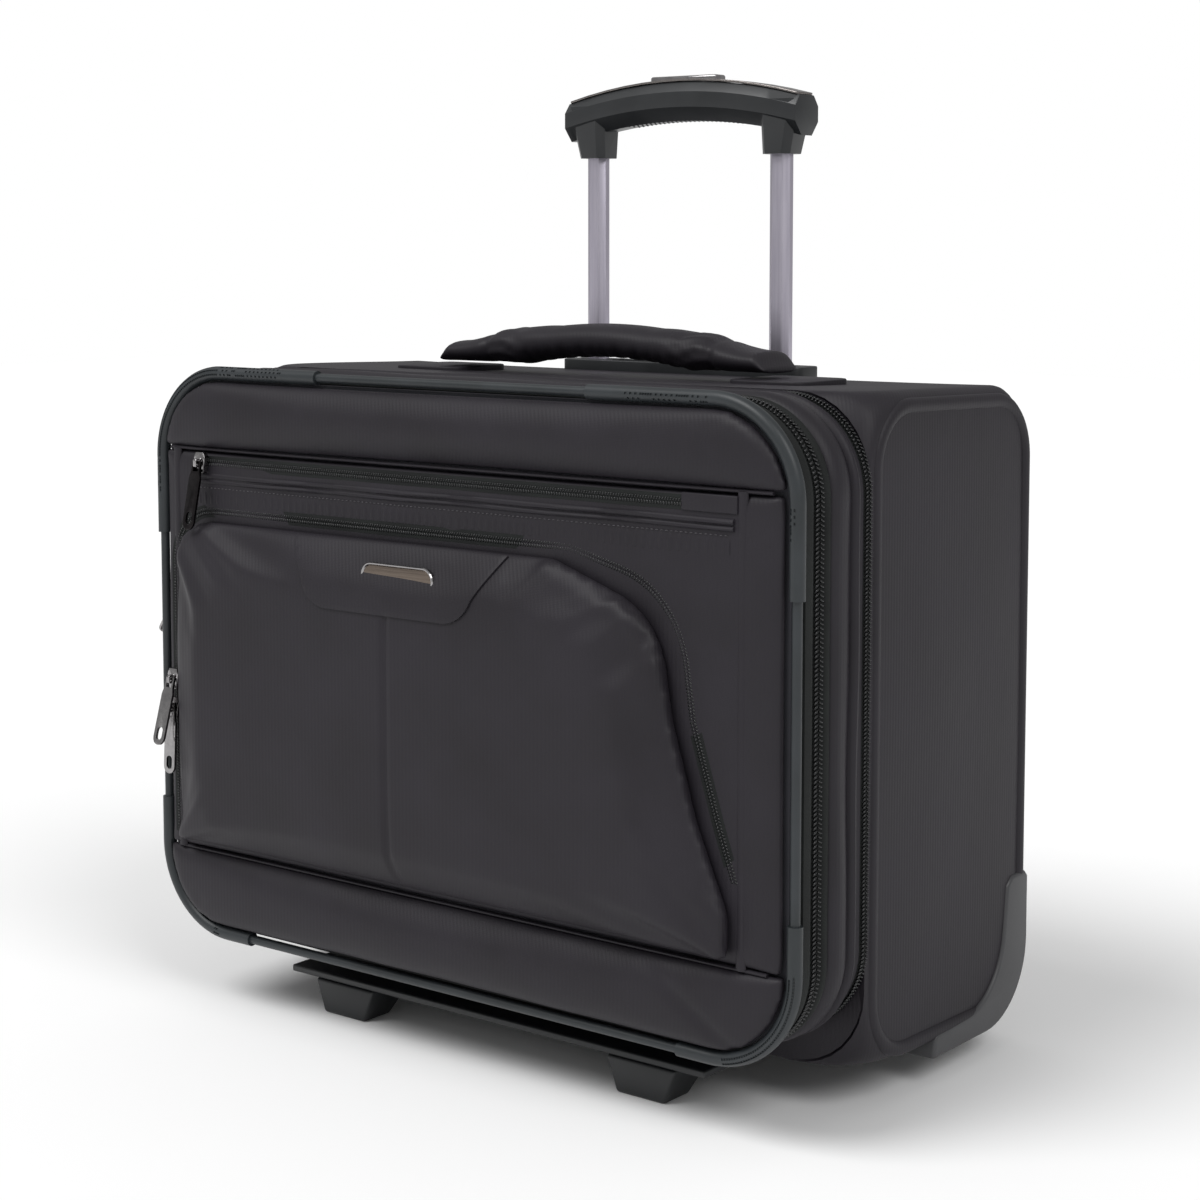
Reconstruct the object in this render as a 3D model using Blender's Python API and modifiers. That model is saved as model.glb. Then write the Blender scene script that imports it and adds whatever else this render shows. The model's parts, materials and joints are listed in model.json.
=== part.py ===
"""Pilot rolling flight case: a stiffened fabric case on two wheels, with an organiser section and a front
flap that zip on, a padded carry handle and a two-stage telescopic handle.

Metres, +Z up, the front faces -Y. While it is modelled, X = 0 is the middle of the case, Y = 0 is the front
edge piping and Z = 0 is the floor. At the end one empty moves everything so that the origin is under the
centre of the whole object.
"""

import math

import bmesh
import bpy
from mathutils import Matrix, Vector

# ---------------------------------------------------------------- driving sizes, in metres
GAP = 0.0003  # between pieces that lie against each other
RUNNING_GAP = 0.0004  # round pieces that turn or slide

CASE_WIDTH = 0.452  # over the front piping
CASE_TOP = 0.377
FRONT_BOTTOM = 0.042  # the front sections hang above the base platform
FRONT_CORNER = 0.052
REAR_WIDTH = CASE_WIDTH - 0.0110
REAR_TOP = CASE_TOP - 0.0020
REAR_BOTTOM = 0.0245
REAR_DEPTH = 0.1685
REAR_CORNER = 0.034
REAR_BACK_EDGE = 0.020
SHELL_WALL = 0.0035
LIP_STEP = 0.0004  # the front lip's edges stay this far inside the shell's faces

PIPING_RADIUS = 0.0026
GUARD_WALL = 0.0011
BOARD = 0.0061  # stiffener and lining of the front flap
FRONT_PAD = 0.0070  # quilted front pieces at their edge
POCKET_RISE = 0.0125  # the lower pocket stands this far in front of the pads
ZIP_HALF = 0.0120
REAR_ZIP_HALF = 0.0034
GUSSET_DEPTH = 0.0307
GUSSET_BACK_WALL = 0.0024
ZIP_HIDDEN = 0.0022  # of the front zip's rear half, folded under the gusset
BAND_WALL = 0.0030
BAND_INSET = 0.0035  # zips and gusset lie this far inside the piping
SLEEVE_THICKNESS = 0.0080

TOP_SEAM = CASE_TOP - 0.0470  # height of the seam under the top band
LOWER_SEAM = FRONT_BOTTOM + 0.0520
SIDE_BINDING = 0.0060
RIGHT_BINDING_X = CASE_WIDTH / 2 - 0.0310
PANEL_STEP = 0.0010  # the upper pocket's panel lies this far behind the padded bands
UPPER_ZIP_Z = TOP_SEAM - 0.0070
UPPER_ZIP_ENDS = (0.0360 - CASE_WIDTH / 2, CASE_WIDTH / 2 - 0.0660)
ZIP_WIDTH = 0.0070
ZIP_THICKNESS = 0.0016
POCKET_TOP = TOP_SEAM - 0.0395
POCKET_LEFT = 0.0235 - CASE_WIDTH / 2
POCKET_CORNER = 0.028
POCKET_ZIP_GAP = 0.0015  # between the zip and the lower pocket's side

BADGE_X = -0.018
BADGE_Z = POCKET_TOP - 0.0195
BADGE_LENGTH = 0.052
BADGE_HEIGHT = 0.015
BADGE_THICKNESS = 0.0022
TAB_THICKNESS = 0.0012  # the cloth tab behind the badge

SLIDER_LENGTH = 0.0120
SLIDER_WIDTH = 0.0090
SLIDER_THICKNESS = 0.0034
BRIDGE_WIDTH = 0.0024
BRIDGE_WALL = 0.0011
PULLER_LENGTH = 0.0390
PULLER_WIDTH = 0.0090
PULLER_THICKNESS = 0.0016
PULLER_PLAY = 0.0003

WHEEL_RADIUS = 0.0275
WHEEL_WIDTH = 0.0200
WHEEL_X = REAR_WIDTH / 2 - 0.0305
TYRE_THICKNESS = 0.0055
AXLE_RADIUS = 0.0030
WHEEL_CLEARANCE = 0.0030
HOUSING_WALL = 0.0025
WHEEL_BACK = 0.0030  # the tyre reaches this far behind the case

GUARD_LENGTH = 0.1012  # wheel guard, along Y
GUARD_TOP = 0.098
GUARD_BOTTOM = 0.0155
GUARD_CORNER = 0.045
GUARD_BACK_WALL = 0.0018
GUARD_SIDE_WALL = 0.0018
GUARD_INNER_X = WHEEL_X - 0.0250

PLATFORM_HALF_WIDTH = REAR_WIDTH / 2 - 0.0705
PLATFORM_FRONT = 0.028
PLATFORM_TO_GUARD = 0.0040
PLATFORM_THICKNESS = 0.0040
FOOT_X = 0.108
FOOT_WIDTH = 0.032
FOOT_DEPTH = 0.022
FOOT_FLARE = 0.007

TUBE_X = 0.0675
TUBE_TO_BACK = 0.0202
TUBE_WALL = 0.0012
TOP_TUBE = (0.0140, 0.0100)
TUBE_STEP = 0.0030  # each stage is this much larger than the one inside it
OUTER_TUBE_BOTTOM = 0.055
MIDDLE_TUBE_BOTTOM = 0.075
TOP_TUBE_BOTTOM = 0.205
TRAY_HALF_LENGTH = TUBE_X + 0.0205
TRAY_DEPTH = 0.026
TRAY_TOP = REAR_TOP + 0.0025
TRAY_THICKNESS = 0.0120
OUTER_TUBE_TOP = TRAY_TOP - TRAY_THICKNESS - 0.0035
LINING_PANEL = 0.0030
LINING_TO_TUBE = 0.0230

GRIP_TOP = TRAY_TOP + 0.1668
GRIP_SHOULDER_X = TUBE_X + 0.0155
GRIP_SHOULDER_DROP = 0.0105
GRIP_BAR = 0.0230  # height of the bar at the middle
GRIP_DEPTH = 0.0240
SOCKET_BOTTOM = TRAY_TOP + 0.1230
SOCKET_WIDTH = TOP_TUBE[0] + 0.0060
COVER_THICKNESS = 0.0014
COVER_DEPTH = 0.0170
BUTTON_LENGTH = 0.0480
BUTTON_WIDTH = 0.0110
BUTTON_RISE = 0.0020
BUTTON_TRAVEL = 0.0030
BUTTON_BODY = 0.0045
ROD_RADIUS = 0.0015

HANDLE_TO_ZIP = 0.0733  # from the rear body's front edge to the middle of the carry handle
HANDLE_HALF_SPAN = 0.118
HANDLE_THICKNESS = 0.0190
HANDLE_WIDTH = 0.0380
HANDLE_ARCH = 0.0050
HANDLE_LIFT = 0.0010  # of the handle's ends over the patches they are sewn to
PATCH_THICKNESS = 0.0014

# ---------------------------------------------------------------- places worked out from the sizes
HALF_WIDTH = CASE_WIDTH / 2
PIPING_X = HALF_WIDTH - PIPING_RADIUS
PIPING_LOW = FRONT_BOTTOM + PIPING_RADIUS
PIPING_HIGH = CASE_TOP - PIPING_RADIUS
GUARD_RADIUS = PIPING_RADIUS + GAP + GUARD_WALL
INSIDE_PIPING = PIPING_RADIUS + GUARD_RADIUS + GAP  # from the outer edge to the flap's board

PAD_BACK = 0.0012
PAD_FRONT = PAD_BACK - FRONT_PAD
BOARD_FRONT = PAD_BACK + GAP
BOARD_BACK = BOARD_FRONT + BOARD
FLAP_ZIP_FRONT = BOARD_BACK + GAP
FLAP_ZIP_BACK = FLAP_ZIP_FRONT + ZIP_HALF
MAIN_ZIP_FRONT = FLAP_ZIP_BACK + GAP
MAIN_ZIP_BACK = MAIN_ZIP_FRONT + ZIP_HALF - ZIP_HIDDEN
GUSSET_FRONT = MAIN_ZIP_BACK + GAP
GUSSET_BACK = GUSSET_FRONT + GUSSET_DEPTH
ZIP2_FRONT = GUSSET_BACK + GAP
ZIP2_MIDDLE = ZIP2_FRONT + REAR_ZIP_HALF
ZIP2_BACK = ZIP2_MIDDLE + GAP + REAR_ZIP_HALF
REAR_FRONT = ZIP2_BACK + GAP
REAR_BACK = REAR_FRONT + REAR_DEPTH
TUBE_Y = REAR_BACK - TUBE_TO_BACK
LINING_PANEL_Y = TUBE_Y - LINING_TO_TUBE
HANDLE_Y = REAR_FRONT + HANDLE_TO_ZIP
GUARD_FRONT = REAR_BACK - GUARD_LENGTH
PLATFORM_BACK = GUARD_FRONT - PLATFORM_TO_GUARD

FLAP_HINGE = (0.0, (FLAP_ZIP_BACK + MAIN_ZIP_FRONT) / 2, FRONT_BOTTOM)
MAIN_HINGE = (0.0, ZIP2_MIDDLE + GAP / 2, FRONT_BOTTOM)

WHEEL_Y = REAR_BACK + WHEEL_BACK - WHEEL_RADIUS
WELL_RADIUS = WHEEL_RADIUS + WHEEL_CLEARANCE
PLATFORM_TOP = REAR_BOTTOM - 0.0007
PLATFORM_BOTTOM = PLATFORM_TOP - PLATFORM_THICKNESS

MIDDLE_TUBE = tuple(side + TUBE_STEP for side in TOP_TUBE)
OUTER_TUBE = tuple(side + TUBE_STEP for side in MIDDLE_TUBE)
MIDDLE_TUBE_TOP = TRAY_TOP
TOP_TUBE_TOP = SOCKET_BOTTOM + 0.019

FINISHES = {  # colour, roughness, metallic
    "case fabric": ((0.031, 0.026, 0.033), 0.72, 0.0),
    "lining": ((0.045, 0.046, 0.050), 0.85, 0.0),
    "rubber": ((0.045, 0.050, 0.052), 0.55, 0.0),
    "moulded plastic": ((0.060, 0.060, 0.062), 0.50, 0.0),
    "zip tape": ((0.020, 0.021, 0.021), 0.60, 0.0),
    "anodised aluminium": ((0.48, 0.45, 0.54), 0.32, 1.0),
    "mill aluminium": ((0.62, 0.62, 0.63), 0.40, 1.0),
    "nickel": ((0.66, 0.66, 0.67), 0.22, 1.0),
    "steel": ((0.52, 0.53, 0.55), 0.30, 1.0),
    "bronze": ((0.125, 0.109, 0.091), 0.35, 1.0),
}

parts = bpy.data.collections.new("pilot_rolling_case")
cutters = bpy.data.collections.new("cutters")
pivots = {}


# ---------------------------------------------------------------- helpers
def clear_scene():
    for found in list(bpy.data.objects):
        bpy.data.objects.remove(found, do_unlink=True)
    bpy.context.scene.collection.children.link(parts)
    bpy.context.scene.collection.children.link(cutters)


def material_for(name, finish):
    colour, roughness, metallic = FINISHES[finish]
    material = bpy.data.materials.new(f"{name} {finish}")
    material.use_nodes = True
    shader = material.node_tree.nodes["Principled BSDF"]
    shader.inputs["Base Color"].default_value = (*colour, 1.0)
    shader.inputs["Roughness"].default_value = roughness
    shader.inputs["Metallic"].default_value = metallic
    return material


def new_object(name, mesh, finish=None):
    """A mesh object in the parts collection, or in the cutters collection when it has no finish."""
    made = bpy.data.objects.new(name, mesh)
    if finish is None:
        cutters.objects.link(made)
        made.hide_render = True
        made.display_type = "WIRE"
        return made
    parts.objects.link(made)
    mesh.materials.clear()
    mesh.materials.append(material_for(name, finish))
    mesh.shade_smooth()
    mesh.set_sharp_from_angle(angle=math.radians(32))
    return made


def realised(source):
    """The evaluated mesh of an object in the case's frame, its doubles merged. The source is removed."""
    bpy.context.view_layer.update()
    graph = bpy.context.evaluated_depsgraph_get()
    mesh = bpy.data.meshes.new_from_object(source.evaluated_get(graph))
    mesh.transform(source.matrix_world)
    bpy.data.objects.remove(source, do_unlink=True)
    bm = bmesh.new()
    bm.from_mesh(mesh)
    bmesh.ops.remove_doubles(bm, verts=bm.verts, dist=1e-6)
    bmesh.ops.recalc_face_normals(bm, faces=bm.faces)
    bm.to_mesh(mesh)
    bm.free()
    return mesh


def arc(centre, radius, start, end, steps):
    """Points on an arc, angles in degrees."""
    turn = [math.radians(start + (end - start) * i / steps) for i in range(steps + 1)]
    return [(centre[0] + radius * math.cos(a), centre[1] + radius * math.sin(a)) for a in turn]


def rounded(half_width, low, high, radius, steps=6, centre=0.0):
    """A rectangle with round corners, as an anticlockwise outline."""
    right, left = centre + half_width - radius, centre - half_width + radius
    corners = ((right, low + radius, -90), (right, high - radius, 0),
               (left, high - radius, 90), (left, low + radius, 180))
    return [point for x, z, start in corners for point in arc((x, z), radius, start, start + 90, steps)]


PLANES = {  # outline axes to world axes, with the outline's normal
    "front": Matrix.Rotation(math.pi / 2, 4, "X"),
    "side": Matrix.Rotation(math.pi / 2, 4, "Z") @ Matrix.Rotation(math.pi / 2, 4, "X"),
    "top": Matrix.Identity(4),
}
NORMALS = {"front": Vector((0, 1, 0)), "side": Vector((1, 0, 0)), "top": Vector((0, 0, 1))}


def plate_mesh(loops, plane, near, far, bevel=0.0):
    """A flat outline, with any further loops as holes, between two distances along the plane's normal."""
    curve = bpy.data.curves.new("outline", "CURVE")
    curve.dimensions = "2D"
    curve.fill_mode = "BOTH"
    curve.extrude = abs(far - near) / 2 - bevel
    curve.bevel_depth = bevel
    curve.bevel_resolution = 0
    curve.offset = -bevel
    for loop in loops:
        spline = curve.splines.new("POLY")
        spline.points.add(len(loop) - 1)
        for point, (u, v) in zip(spline.points, loop):
            point.co = (u, v, 0, 1)
        spline.use_cyclic_u = True
    holder = bpy.data.objects.new("outline", curve)
    parts.objects.link(holder)
    holder.matrix_world = Matrix.Translation(NORMALS[plane] * (near + far) / 2) @ PLANES[plane]
    return realised(holder)


def plate(name, finish, loops, plane, near, far, bevel=0.0):
    return new_object(name, plate_mesh(loops, plane, near, far, bevel), finish)


def tube_mesh(points, radius, cyclic=False, squash=None, sides=8):
    """A round tube along points, whose ends are filled unless it is closed."""
    curve = bpy.data.curves.new("path", "CURVE")
    curve.dimensions = "3D"
    curve.bevel_depth = radius
    curve.bevel_resolution = sides // 4
    curve.use_fill_caps = not cyclic
    spline = curve.splines.new("POLY")
    spline.points.add(len(points) - 1)
    for point, co in zip(spline.points, points):
        point.co = (*co, 1)
    spline.use_cyclic_u = cyclic
    holder = bpy.data.objects.new("path", curve)
    parts.objects.link(holder)
    if squash:
        factor, middle = squash
        to_middle = Matrix.Translation((0, middle, 0))
        holder.matrix_world = to_middle @ Matrix.Diagonal((1, factor, 1, 1)) @ to_middle.inverted()
    return realised(holder)


def block(name, finish, low, high, bevel=0.0):
    """A box between two corners, its edges bevelled."""
    mesh = bpy.data.meshes.new(name)
    bm = bmesh.new()
    bmesh.ops.create_cube(bm, size=1.0)
    size = Vector(high) - Vector(low)
    bmesh.ops.scale(bm, vec=size, verts=bm.verts)
    bmesh.ops.translate(bm, vec=(Vector(high) + Vector(low)) / 2, verts=bm.verts)
    bm.to_mesh(mesh)
    bm.free()
    made = new_object(name, mesh, finish)
    if bevel:
        edge = made.modifiers.new("rounded edges", "BEVEL")
        edge.width = bevel
        edge.segments = 2
    return made


def turned(name, finish, profile, centre, steps=32):
    """A closed profile of (radius, offset) points turned about the X axis through the centre."""
    mesh = bpy.data.meshes.new(name)
    bm = bmesh.new()
    ring = [bm.verts.new((offset, 0, radius)) for radius, offset in profile]
    edges = [bm.edges.new((a, b)) for a, b in zip(ring, ring[1:] + ring[:1])]
    bmesh.ops.spin(bm, geom=ring + edges, cent=(0, 0, 0), axis=(1, 0, 0), angle=math.tau, steps=steps,
                   use_merge=True)
    bmesh.ops.remove_doubles(bm, verts=bm.verts, dist=1e-6)
    bmesh.ops.recalc_face_normals(bm, faces=bm.faces)
    bmesh.ops.translate(bm, vec=centre, verts=bm.verts)
    bm.to_mesh(mesh)
    bm.free()
    return new_object(name, mesh, finish)


def rod_mesh(start, end, radius, sides=16):
    """A cylinder between two points."""
    start, end = Vector(start), Vector(end)
    mesh = bpy.data.meshes.new("rod")
    bm = bmesh.new()
    bmesh.ops.create_cone(bm, cap_ends=True, segments=sides, radius1=radius, radius2=radius,
                          depth=(end - start).length)
    turn = (end - start).to_track_quat("Z", "Y").to_matrix().to_4x4()
    bmesh.ops.transform(bm, matrix=Matrix.Translation((start + end) / 2) @ turn, verts=bm.verts)
    bm.to_mesh(mesh)
    bm.free()
    return mesh


def boolean(target, other, operation="DIFFERENCE"):
    """A live Boolean. The other object becomes a helper of the target."""
    step = target.modifiers.new(f"{operation.lower()} {other.name}", "BOOLEAN")
    step.operation = operation
    step.object = other
    return target


def pivot(name, location, parent=None):
    """An empty on a joint's axis, which carries the pieces that move about it."""
    empty = bpy.data.objects.new(f"{name}_axis", None)
    parts.objects.link(empty)
    empty.location = location
    if parent:
        empty.parent = pivots[parent]
        empty.location = Vector(location) - pivot_place(parent)
    pivots[name] = empty
    return empty


def pivot_place(name):
    place, empty = Vector((0, 0, 0)), pivots[name]
    while empty:
        place += empty.location
        empty = empty.parent
    return place


def carry(name, *objects):
    """Parents the objects to a pivot without moving them."""
    for moved in objects:
        moved.parent = pivots[name]
        moved.matrix_parent_inverse = Matrix.Translation(-pivot_place(name))


def mirrored_x(outline):
    return [(-x, z) for x, z in reversed(outline)]


def between(outline, low, high):
    """The part of a convex outline that lies between two heights."""
    for level, keep in ((low, 1), (high, -1)):
        kept = []
        for here, after in zip(outline, outline[1:] + outline[:1]):
            inside = keep * (here[1] - level) >= -1e-9
            if inside:
                kept.append(here)
            if inside != (keep * (after[1] - level) >= -1e-9):
                share = (level - here[1]) / (after[1] - here[1])
                crossing = (here[0] + share * (after[0] - here[0]), level)
                if math.dist(crossing, here) > 1e-6 and math.dist(crossing, after) > 1e-6:
                    kept.append(crossing)
        outline = kept
    return outline


# ---------------------------------------------------------------- rear case
def shell_form(name, finish, grow, front, open_front):
    """The rear body's outer form: round corners seen from the front, and a round back edge."""
    half, low, high = REAR_WIDTH / 2 + grow, REAR_BOTTOM - grow, REAR_TOP + grow
    mesh = bpy.data.meshes.new(name)
    bm = bmesh.new()
    outline = [bm.verts.new((x, front, z)) for x, z in rounded(half, low, high, REAR_CORNER + grow, 5)]
    face = bm.faces.new(outline)
    pushed = bmesh.ops.extrude_face_region(bm, geom=[face])
    back = [v for v in pushed["geom"] if isinstance(v, bmesh.types.BMVert)]
    bmesh.ops.translate(bm, vec=(0, REAR_BACK + grow - front, 0), verts=back)
    bm.faces.ensure_lookup_table()
    rim = [e for e in bm.edges if all(v in back for v in e.verts)]
    bmesh.ops.bevel(bm, geom=rim, offset=REAR_BACK_EDGE, segments=4, profile=0.5, affect="EDGES", material=-1)
    if open_front:
        flat = [f for f in bm.faces if all(abs(v.co.y - front) < 1e-6 for v in f.verts)]
        bmesh.ops.delete(bm, geom=flat, context="FACES_ONLY")
    bmesh.ops.recalc_face_normals(bm, faces=bm.faces)
    bm.to_mesh(mesh)
    bm.free()
    return new_object(name, mesh, finish)


def rear_case():
    shell = shell_form("rear_shell", "case fabric", 0.0, REAR_FRONT, open_front=True)
    wall = shell.modifiers.new("wall", "SOLIDIFY")
    wall.thickness = SHELL_WALL
    wall.offset = -1.0
    lip = plate("front_lip", None, lip_loops(), "front", REAR_FRONT + LIP_STEP, REAR_FRONT + SHELL_WALL)
    boolean(shell, lip, "UNION")
    for side in (-1, 1):
        low, high = housing_box(side, GAP)
        boolean(shell, block(f"cut_housing_{side}", None, low, high))
    low = (-TRAY_HALF_LENGTH - GAP, TUBE_Y - TRAY_DEPTH / 2 - GAP, REAR_TOP - 0.02)
    high = (TRAY_HALF_LENGTH + GAP, TUBE_Y + TRAY_DEPTH / 2 + GAP, REAR_TOP + 0.02)
    boolean(shell, block("cut_tray", None, low, high))

    inside = REAR_WIDTH / 2 - SHELL_WALL - 0.002
    top = TRAY_TOP - TRAY_THICKNESS - 0.004
    lining = plate("rear_lining_panel", "lining",
                   [rounded(inside, WELL_TOP + HOUSING_WALL + 0.004, top, 0.020, 4)],
                   "front", LINING_PANEL_Y, LINING_PANEL_Y + LINING_PANEL)
    zip_half = plate("main_zip_rear_half", "zip tape", band_loops(0.0), "front", ZIP2_MIDDLE + GAP, ZIP2_BACK)
    return [shell, lining, zip_half]


def lip_loops():
    """The lip that closes the shell's front round the zip. Its rims end inside the shell's wall."""
    half, low, high = REAR_WIDTH / 2 - LIP_STEP, REAR_BOTTOM + LIP_STEP, REAR_TOP - LIP_STEP
    mouth_half, mouth_high = REAR_WIDTH / 2 - SHELL_WALL / 2, REAR_TOP - SHELL_WALL / 2
    zip_bottom = FRONT_BOTTOM + BAND_INSET + BAND_WALL
    return [rounded(half, low, high, REAR_CORNER - LIP_STEP, 5),
            rounded(mouth_half, zip_bottom, mouth_high, FRONT_CORNER - BAND_INSET - BAND_WALL)]


def band_loops(inset, wall=BAND_WALL):
    """The outline of a zip or gusset band and of the space inside it."""
    half = HALF_WIDTH - BAND_INSET - inset
    low, high = FRONT_BOTTOM + BAND_INSET + inset, CASE_TOP - BAND_INSET - inset
    radius = FRONT_CORNER - BAND_INSET - inset
    return [rounded(half, low, high, radius), rounded(half - wall, low + wall, high - wall, radius - wall)]


# ---------------------------------------------------------------- wheels and guards
WELL_TOP = WHEEL_RADIUS + WELL_RADIUS
WELL_HALF = WHEEL_WIDTH / 2 + 0.0030


def housing_box(side, grow):
    """The box round a wheel's well, open at the bottom and back."""
    inner = side * (WHEEL_X - WELL_HALF - HOUSING_WALL - grow)
    outer = side * (WHEEL_X + WELL_HALF + HOUSING_WALL + grow)
    low = (min(inner, outer), WHEEL_Y - WELL_RADIUS - HOUSING_WALL - grow, REAR_BOTTOM - 0.02)
    high = (max(inner, outer), REAR_BACK + 0.02, WELL_TOP + HOUSING_WALL + grow)
    return low, high


def guard_outline():
    """The guard seen from the side: an L with a round outer corner and a hollow inner one."""
    back = REAR_BACK + GAP + GUARD_BACK_WALL
    centre = (back - GUARD_CORNER, GUARD_BOTTOM + GUARD_CORNER)
    outline = [(GUARD_FRONT, GUARD_BOTTOM)]
    outline += arc(centre, GUARD_CORNER, -90, 0, 8)
    outline += [(back, GUARD_TOP), (back - 0.020, GUARD_TOP), (back - 0.0275, GUARD_TOP - 0.006)]
    bend = 0.040
    outline += reversed(arc((back - 0.0275 - bend, REAR_BOTTOM + 0.005 + bend), bend, -80, -10, 6))
    outline += [(GUARD_FRONT + 0.003, REAR_BOTTOM + 0.0015)]
    return outline


def wheel_guard(name, side):
    outer_x = side * (REAR_WIDTH / 2 + GAP + GUARD_SIDE_WALL)
    guard = plate(f"wheel_guard_{name}", "moulded plastic", [guard_outline()], "side",
                  min(side * GUARD_INNER_X, outer_x), max(side * GUARD_INNER_X, outer_x))
    boolean(guard, shell_form(f"cut_shell_{name}", None, GAP, REAR_FRONT, open_front=False))
    low, high = housing_box(side, 0.0)
    back = REAR_BACK + GAP + GUARD_BACK_WALL
    housing = block(f"housing_{name}", None, (low[0], low[1], GUARD_BOTTOM + LIP_STEP),
                    (high[0], back - LIP_STEP, high[2]))
    boolean(guard, housing, "UNION")
    well = block(f"well_{name}", None,
                 (side * WHEEL_X - WELL_HALF, WHEEL_Y - WELL_RADIUS, -0.01),
                 (side * WHEEL_X + WELL_HALF, REAR_BACK + 0.03, WELL_TOP))
    boolean(guard, well)
    reach = WELL_HALF + HOUSING_WALL
    hole = rod_mesh((side * WHEEL_X - reach - 0.002, WHEEL_Y, WHEEL_RADIUS),
                    (side * WHEEL_X + reach - 0.0005, WHEEL_Y, WHEEL_RADIUS), AXLE_RADIUS + GAP)
    boolean(guard, new_object(f"axle_hole_{name}", hole, None))
    axle = new_object(f"axle_{name}", rod_mesh((side * WHEEL_X - reach + GAP, WHEEL_Y, WHEEL_RADIUS),
                                               (side * WHEEL_X + reach - 0.0005 - GAP, WHEEL_Y, WHEEL_RADIUS),
                                               AXLE_RADIUS), "steel")
    return [guard, axle]


def wheel(name, side):
    """A rubber tyre on a plastic hub, which turns on the axle."""
    rim = WHEEL_RADIUS - TYRE_THICKNESS
    half = WHEEL_WIDTH / 2
    crown = 0.0025
    tyre_profile = [(rim, -half + 0.001), (WHEEL_RADIUS - crown, -half), (WHEEL_RADIUS, -half + crown),
                    (WHEEL_RADIUS, half - crown), (WHEEL_RADIUS - crown, half), (rim, half - 0.001)]
    bore = AXLE_RADIUS + RUNNING_GAP
    web = 0.0030
    hub_profile = [(bore, -half), (bore + 0.004, -half), (bore + 0.005, -web), (rim - 0.004, -web),
                   (rim - 0.003, -half + 0.001), (rim - GAP, -half + 0.001), (rim - GAP, half - 0.001),
                   (rim - 0.003, half - 0.001), (rim - 0.004, web), (bore + 0.005, web), (bore + 0.004, half),
                   (bore, half)]
    centre = (side * WHEEL_X, WHEEL_Y, WHEEL_RADIUS)
    pivot(f"wheel_{name}", centre, "case")
    tyre = turned(f"tyre_{name}", "rubber", tyre_profile, centre)
    hub = turned(f"wheel_hub_{name}", "moulded plastic", hub_profile, centre, 24)
    carry(f"wheel_{name}", tyre, hub)


# ---------------------------------------------------------------- base
def base():
    made = [block("base_platform", "moulded plastic", (-PLATFORM_HALF_WIDTH, PLATFORM_FRONT, PLATFORM_BOTTOM),
                  (PLATFORM_HALF_WIDTH, PLATFORM_BACK, PLATFORM_TOP), 0.0008)]
    for name, side in (("left", -1), ("right", 1)):
        made.append(foot(name, side))
    return made


def foot(name, side):
    """A wedge foot, wider at the top."""
    front, top = PLATFORM_FRONT, PLATFORM_BOTTOM - GAP
    mesh = bpy.data.meshes.new(f"front_foot_{name}")
    bm = bmesh.new()
    bmesh.ops.create_cube(bm, size=1.0)
    bmesh.ops.scale(bm, vec=(FOOT_WIDTH, FOOT_DEPTH, top), verts=bm.verts)
    bmesh.ops.translate(bm, vec=(side * FOOT_X, front + FOOT_DEPTH / 2, top / 2), verts=bm.verts)
    for vert in bm.verts:
        if vert.co.z > top / 2:
            vert.co.x += math.copysign(FOOT_FLARE, vert.co.x - side * FOOT_X)
            if vert.co.y > front + FOOT_DEPTH / 2:
                vert.co.y += 2 * FOOT_FLARE
    bm.to_mesh(mesh)
    bm.free()
    made = new_object(f"front_foot_{name}", mesh, "rubber")
    edge = made.modifiers.new("rounded edges", "BEVEL")
    edge.width = 0.0018
    edge.segments = 2
    return made


# ---------------------------------------------------------------- telescopic handle
def tube_section(size, side, shrink=0.0):
    """A tube's faceted outline seen from above: a narrow front flat, broad chamfers and small side flats."""
    half_x, half_y = size[0] / 2 - shrink, size[1] / 2 - shrink
    flat_x, flat_y = half_x * 0.50, half_y * 0.36
    corner = [(half_x, -flat_y), (half_x, flat_y), (flat_x, half_y), (-flat_x, half_y),
              (-half_x, flat_y), (-half_x, -flat_y), (-flat_x, -half_y), (flat_x, -half_y)]
    return [(side * TUBE_X + x, TUBE_Y + y) for x, y in corner]


def tube(name, finish, size, side, low, high):
    loops = [tube_section(size, side), tube_section(size, side, TUBE_WALL)]
    return plate(name, finish, loops, "top", low, high)


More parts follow.
